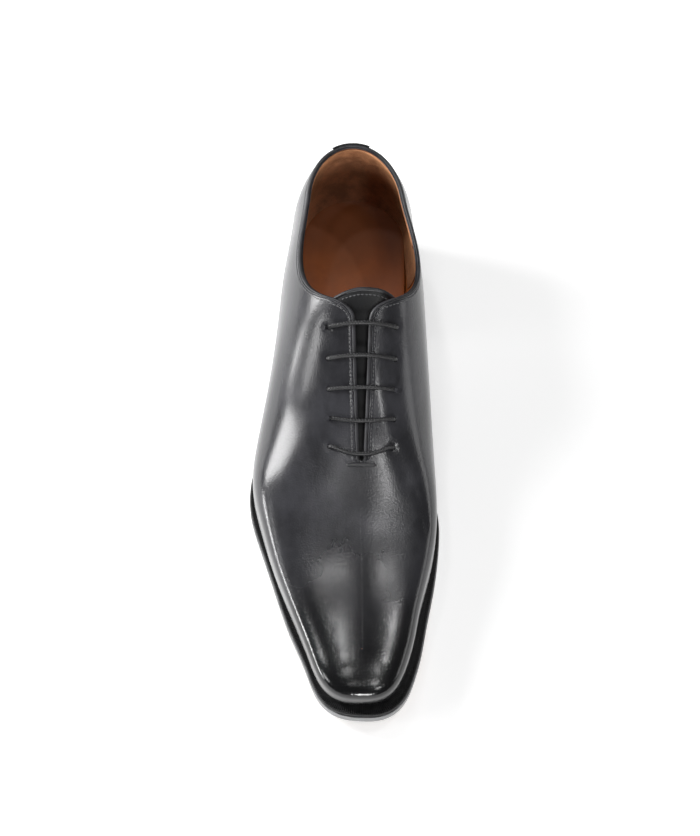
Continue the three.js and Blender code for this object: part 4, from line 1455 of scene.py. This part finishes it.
class OXFORD_OT_sock(bpy.types.Operator):
    """Lay the sock lining over the insole, up to the upper's inside"""

    bl_idname = "oxford.sock"
    bl_label = "Sock lining"

    def execute(self, context):
        across = 36
        lift = UPPER_WALL + GAP + INSOLE

        def wall(side, station):
            inside = UPPER_WALL + GAP - 1.6
            point = plan_point(side, station, -inside)
            return Vector((point.x, point.y, feather_at(point.y) + lift))

        sides = [(wall(LATERAL, station), wall(MEDIAL, station)) for station in PLATE_STATIONS]

        def place(column, row):
            one, other = sides[row]
            share = column / across
            point = one.lerp(other, share)
            edge = min(share, 1 - share) * (other - one).length
            dish = SOCK_DISH * smooth(edge / SOCK_RIM)
            return point - Vector((0, 0, dish))

        piece = sheet("sock_lining", across + 1, len(PLATE_STATIONS), place)
        turn_to(piece, Z, 1, len(piece.data.polygons) // 2)
        modify(piece, "SOLIDIFY", thickness=(INSOLE - 0.7) * MM, offset=-1)
        round_edges(piece, 0.4, 2)
        finish(piece, [lining_material()], stands_for=["insole"])
        return {"FINISHED"}


# Bottom: welt, outsole and heel
def rib_stations(pitch, steps):
    """Stations whose columns lie an equal step apart along the sole's edge, steps of them to a rib."""
    rough = spaced((0, 1, 200), (1, 2, 600), (2, 3, 200))
    columns = {}
    for side in (LATERAL, MEDIAL):
        points = [sole_point(side, station, 0) for station in rough]
        lengths = [0.0]
        for here, there in zip(points, points[1:]):
            lengths.append(lengths[-1] + (there - here).length)
        ribs = round(lengths[-1] / pitch)
        stations = []
        at = 0
        for i in range(ribs * steps + 1):
            goal = lengths[-1] * i / (ribs * steps)
            while at < len(lengths) - 2 and lengths[at + 1] < goal:
                at += 1
            part = (goal - lengths[at]) / (lengths[at + 1] - lengths[at])
            stations.append(lerp(rough[at], rough[at + 1], part))
        columns[side] = stations
    return columns


RIB_STEPS = 4
RIB_DEPTH = 0.38


class OXFORD_OT_welt(bpy.types.Operator):
    """Make the welt, with its top wheeled into ribs"""

    bl_idname = "oxford.welt"
    bl_label = "Welt"

    def execute(self, context):
        columns = rib_stations(settings().rib_pitch / MM, RIB_STEPS)
        ring = [(LATERAL, station, i) for i, station in reversed(list(enumerate(columns[LATERAL])))]
        ring += [(MEDIAL, station, i) for i, station in list(enumerate(columns[MEDIAL]))[1:]]
        low = OUTSOLE + 0.02
        high = OUTSOLE + GAP + WELT

        # Each row: how far inside the sole's edge, height over the underside and share of a rib
        rows = (
            (None, low + 0.4, 0), (None, high + 0.1, 0), (3.6, high, 0.3), (2.9, high, 1.0), (2.0, high, 1.0),
            (1.2, high - 0.02, 1.0), (0.75, high - 0.12, 0.8), (0.5, high - 0.45, 0.3), (0.45, high - 1.2, 0),
            (0.5, low + 0.5, 0), (0.75, low + 0.1, 0), (None, low, 0), (None, low + 0.4, 0),
        )

        def place(column, row):
            side, station, index = ring[column]
            inside, height, share = rows[row]
            if inside is None:
                point = plan_point(side, station, -WELT_SEAT)
            else:
                point = sole_point(side, station, inside)
            rib = abs(math.sin(math.pi * index / RIB_STEPS)) ** 0.7
            return Vector((point.x, point.y, underside_at(point.y) + height - RIB_DEPTH * share * (1 - rib)))

        piece = sheet("welt_strip", len(ring), len(rows), place)
        close_up(piece)
        finish(piece, [welt_material()], math.radians(75), ["welt"])
        return {"FINISHED"}


def plate(name, stations, inside, top, bottom, taper=0.0):
    """A plate between two heights, its edge this far inside the sole's, open at its straight front."""
    across = 16

    def place(column, row):
        station = stations[row]
        share = column / across
        one = sole_point(LATERAL, station, inside)
        other = sole_point(MEDIAL, station, inside)
        point = one.lerp(other, share)
        return Vector((point.x, point.y, top(point.y)))

    piece = sheet(name, across + 1, len(stations), place)
    turn_to(piece, Z, 1, len(piece.data.polygons) // 2)
    merge(piece)
    active(piece)
    bpy.ops.object.mode_set(mode="EDIT")
    bpy.ops.mesh.select_all(action="SELECT")
    bpy.ops.mesh.extrude_region_move(TRANSFORM_OT_translate={"value": (0, 0, -MM)})
    bpy.ops.object.mode_set(mode="OBJECT")
    for vertex in piece.data.vertices:
        if vertex.select:
            y = vertex.co.y / MM
            vertex.co.z = bottom(y) * MM
            if taper:
                vertex.co.x = vertex.co.x * (1 - taper / 33)
    close_up(piece)
    return piece


class OXFORD_OT_outsole(bpy.types.Operator):
    """Make the outsole with its rounded edge"""

    bl_idname = "oxford.outsole"
    bl_label = "Outsole"

    def execute(self, context):
        piece = plate(
            "outsole_leather", PLATE_STATIONS, 0.0,
            lambda y: underside_at(y) + OUTSOLE, lambda y: underside_at(y))
        round_edges(piece, 0.9, 4)
        finish(piece, [sole_material()], stands_for=["outsole"])
        return {"FINISHED"}


class OXFORD_OT_heel(bpy.types.Operator):
    """Stack the heel's layers on the top lift"""

    bl_idname = "oxford.heel"
    bl_label = "Heel"

    def execute(self, context):
        stations = spaced(*HEEL_SPANS)

        def inside(height):
            return GAP + HEEL_TAPER * (1 - height / HEEL_HEIGHT)

        thickness = settings().heel_layer / MM
        count = round((HEEL_HEIGHT - TOP_LIFT) / thickness)
        layers = []
        for i in range(count):
            low = lerp(TOP_LIFT, HEEL_HEIGHT, i / count)
            high = lerp(TOP_LIFT, HEEL_HEIGHT, (i + 1) / count)
            seat = i == count - 1
            layer = plate(
                f"heel_layer_{i}", stations, inside((low + high) / 2),
                (lambda y: underside_at(y) - 0.04) if seat else (lambda y, high=high: high - 0.02),
                lambda y, low=low: low + 0.02)
            round_edges(layer, 0.28, 2)
            layers.append(layer)
        finish(join(layers, "heel_layers"), [heel_material()], stands_for=["heel_stack"])
        lift = plate("heel_top_lift", stations, inside(TOP_LIFT / 2), lambda y: TOP_LIFT, lambda y: 0.0)
        round_edges(lift, 0.5, 3)
        finish(lift, [rubber_material()], stands_for=["top_lift"])
        return {"FINISHED"}


# Stage: floor, lights and camera
CAMERA_PLACE = (-0.6, -620, 1014)
CAMERA_TILT = 27.9
FRAME_HEIGHT = 836
FOCAL_PIXELS = 2105
SENSOR = 36


class OXFORD_OT_stage(bpy.types.Operator):
    """Set the floor, the soft lights and the camera"""

    bl_idname = "oxford.stage"
    bl_label = "Stage"

    def execute(self, context):
        scene = context.scene
        bpy.ops.object.select_all(action="DESELECT")
        bpy.ops.mesh.primitive_plane_add(size=12, location=(0, 0, 0))
        floor = context.object
        floor.name = "floor"
        material, tree, shader = new_material("floor")
        shader.inputs["Base Color"].default_value = (0.9, 0.9, 0.9, 1)
        shader.inputs["Roughness"].default_value = 0.8
        shader.inputs["Emission Color"].default_value = (1, 1, 1, 1)
        shader.inputs["Emission Strength"].default_value = 0.38
        floor.data.materials.append(material)

        world = bpy.data.worlds.new("studio")
        scene.world = world
        world.use_nodes = True
        world.node_tree.nodes["Background"].inputs["Color"].default_value = (1, 1, 1, 1)
        world.node_tree.nodes["Background"].inputs["Strength"].default_value = 0.09

        # Each light: name, place, what it looks at, width, length and power
        shoe = (0, -0.15, 0.04)
        lights = (
            ("ridge_left", (-1.8, -0.3, 0.2), shoe, 0.6, 0.22, 11),
            ("side_left", (-0.56, 0.08, 0.46), (0, 0.08, 0.4), 0.26, 0.5, 6.5),
            ("high_left", (-1.55, -0.62, 0.85), shoe, 0.4, 0.3, 4),
            ("side_right", (2.0, 0.1, 0.45), shoe, 1.4, 0.5, 5),
            ("front", (0.1, -2.2, 0.6), shoe, 0.5, 0.36, 20),
            ("back", (0.0, 2.3, 1.3), shoe, 1.4, 0.8, 4),
            ("top_left_rear", (-0.42, 0.45, 2.0), shoe, 0.12, 0.08, 2.2),
            ("top_left", (-0.34, -0.06, 2.0), shoe, 0.14, 0.18, 1.5),
            ("top_left_front", (-0.16, -0.66, 2.0), shoe, 0.1, 0.14, 0.6),
            ("top_right_rear", (0.9, 0.38, 2.0), shoe, 0.12, 0.08, 3.4),
            ("top_right", (0.52, -0.04, 2.0), shoe, 0.16, 0.18, 1.9),
            ("top_right_front", (0.46, -0.64, 2.0), shoe, 0.18, 0.2, 3.2),
            ("top_right_far", (0.9, -1.35, 2.0), shoe, 0.24, 0.28, 5.0),
        )
        for name, place, target, width, length, power in lights:
            bpy.ops.object.light_add(type="AREA", location=place)
            light = context.object
            light.name = name
            light.data.shape = "RECTANGLE"
            light.data.size, light.data.size_y = width, length
            light.data.energy = power
            light.rotation_euler = (Vector(place) - Vector(target)).to_track_quat("Z", "Y").to_euler()

        tilt = (math.radians(CAMERA_TILT), 0, 0)
        bpy.ops.object.camera_add(location=Vector(CAMERA_PLACE) * MM, rotation=tilt)
        camera = context.object
        camera.name = "photo_camera"
        camera.data.sensor_width = SENSOR
        camera.data.lens = FOCAL_PIXELS * SENSOR / FRAME_HEIGHT
        camera.data.clip_start, camera.data.clip_end = 0.05, 20
        scene.camera = camera
        scene.view_settings.view_transform = "Standard"
        return {"FINISHED"}


class OXFORD_PT_panel(bpy.types.Panel):
    """The shoe's pieces and their settings"""

    bl_idname = "OXFORD_PT_panel"
    bl_label = "Oxford"
    bl_space_type = "VIEW_3D"
    bl_region_type = "UI"
    bl_category = "Oxford"

    def draw(self, context):
        for operator in OPERATORS:
            self.layout.operator(operator.bl_idname)
        for name in OxfordSettings.__annotations__:
            self.layout.prop(context.scene.oxford, name)


OPERATORS = (
    OXFORD_OT_stage,
    OXFORD_OT_upper,
    OXFORD_OT_tongue,
    OXFORD_OT_heel_tab,
    OXFORD_OT_stitches,
    OXFORD_OT_bar_tack,
    OXFORD_OT_lace,
    OXFORD_OT_heel_lining,
    OXFORD_OT_sock,
    OXFORD_OT_welt,
    OXFORD_OT_outsole,
    OXFORD_OT_heel,
)
CLASSES = (OxfordSettings, *OPERATORS, OXFORD_PT_panel)


def register():
    for item in CLASSES:
        bpy.utils.register_class(item)
    bpy.types.Scene.oxford = PointerProperty(type=OxfordSettings)


def unregister():
    del bpy.types.Scene.oxford
    for item in reversed(CLASSES):
        bpy.utils.unregister_class(item)


def main():
    register()
    bpy.ops.oxford.stage()
    bpy.ops.oxford.upper()
    bpy.ops.oxford.tongue()
    bpy.ops.oxford.heel_tab()
    bpy.ops.oxford.stitches()
    bpy.ops.oxford.bar_tack()
    bpy.ops.oxford.lace()
    bpy.ops.oxford.heel_lining()
    bpy.ops.oxford.sock()
    bpy.ops.oxford.welt()
    bpy.ops.oxford.outsole()
    bpy.ops.oxford.heel()


if __name__ == "__main__":
    main()
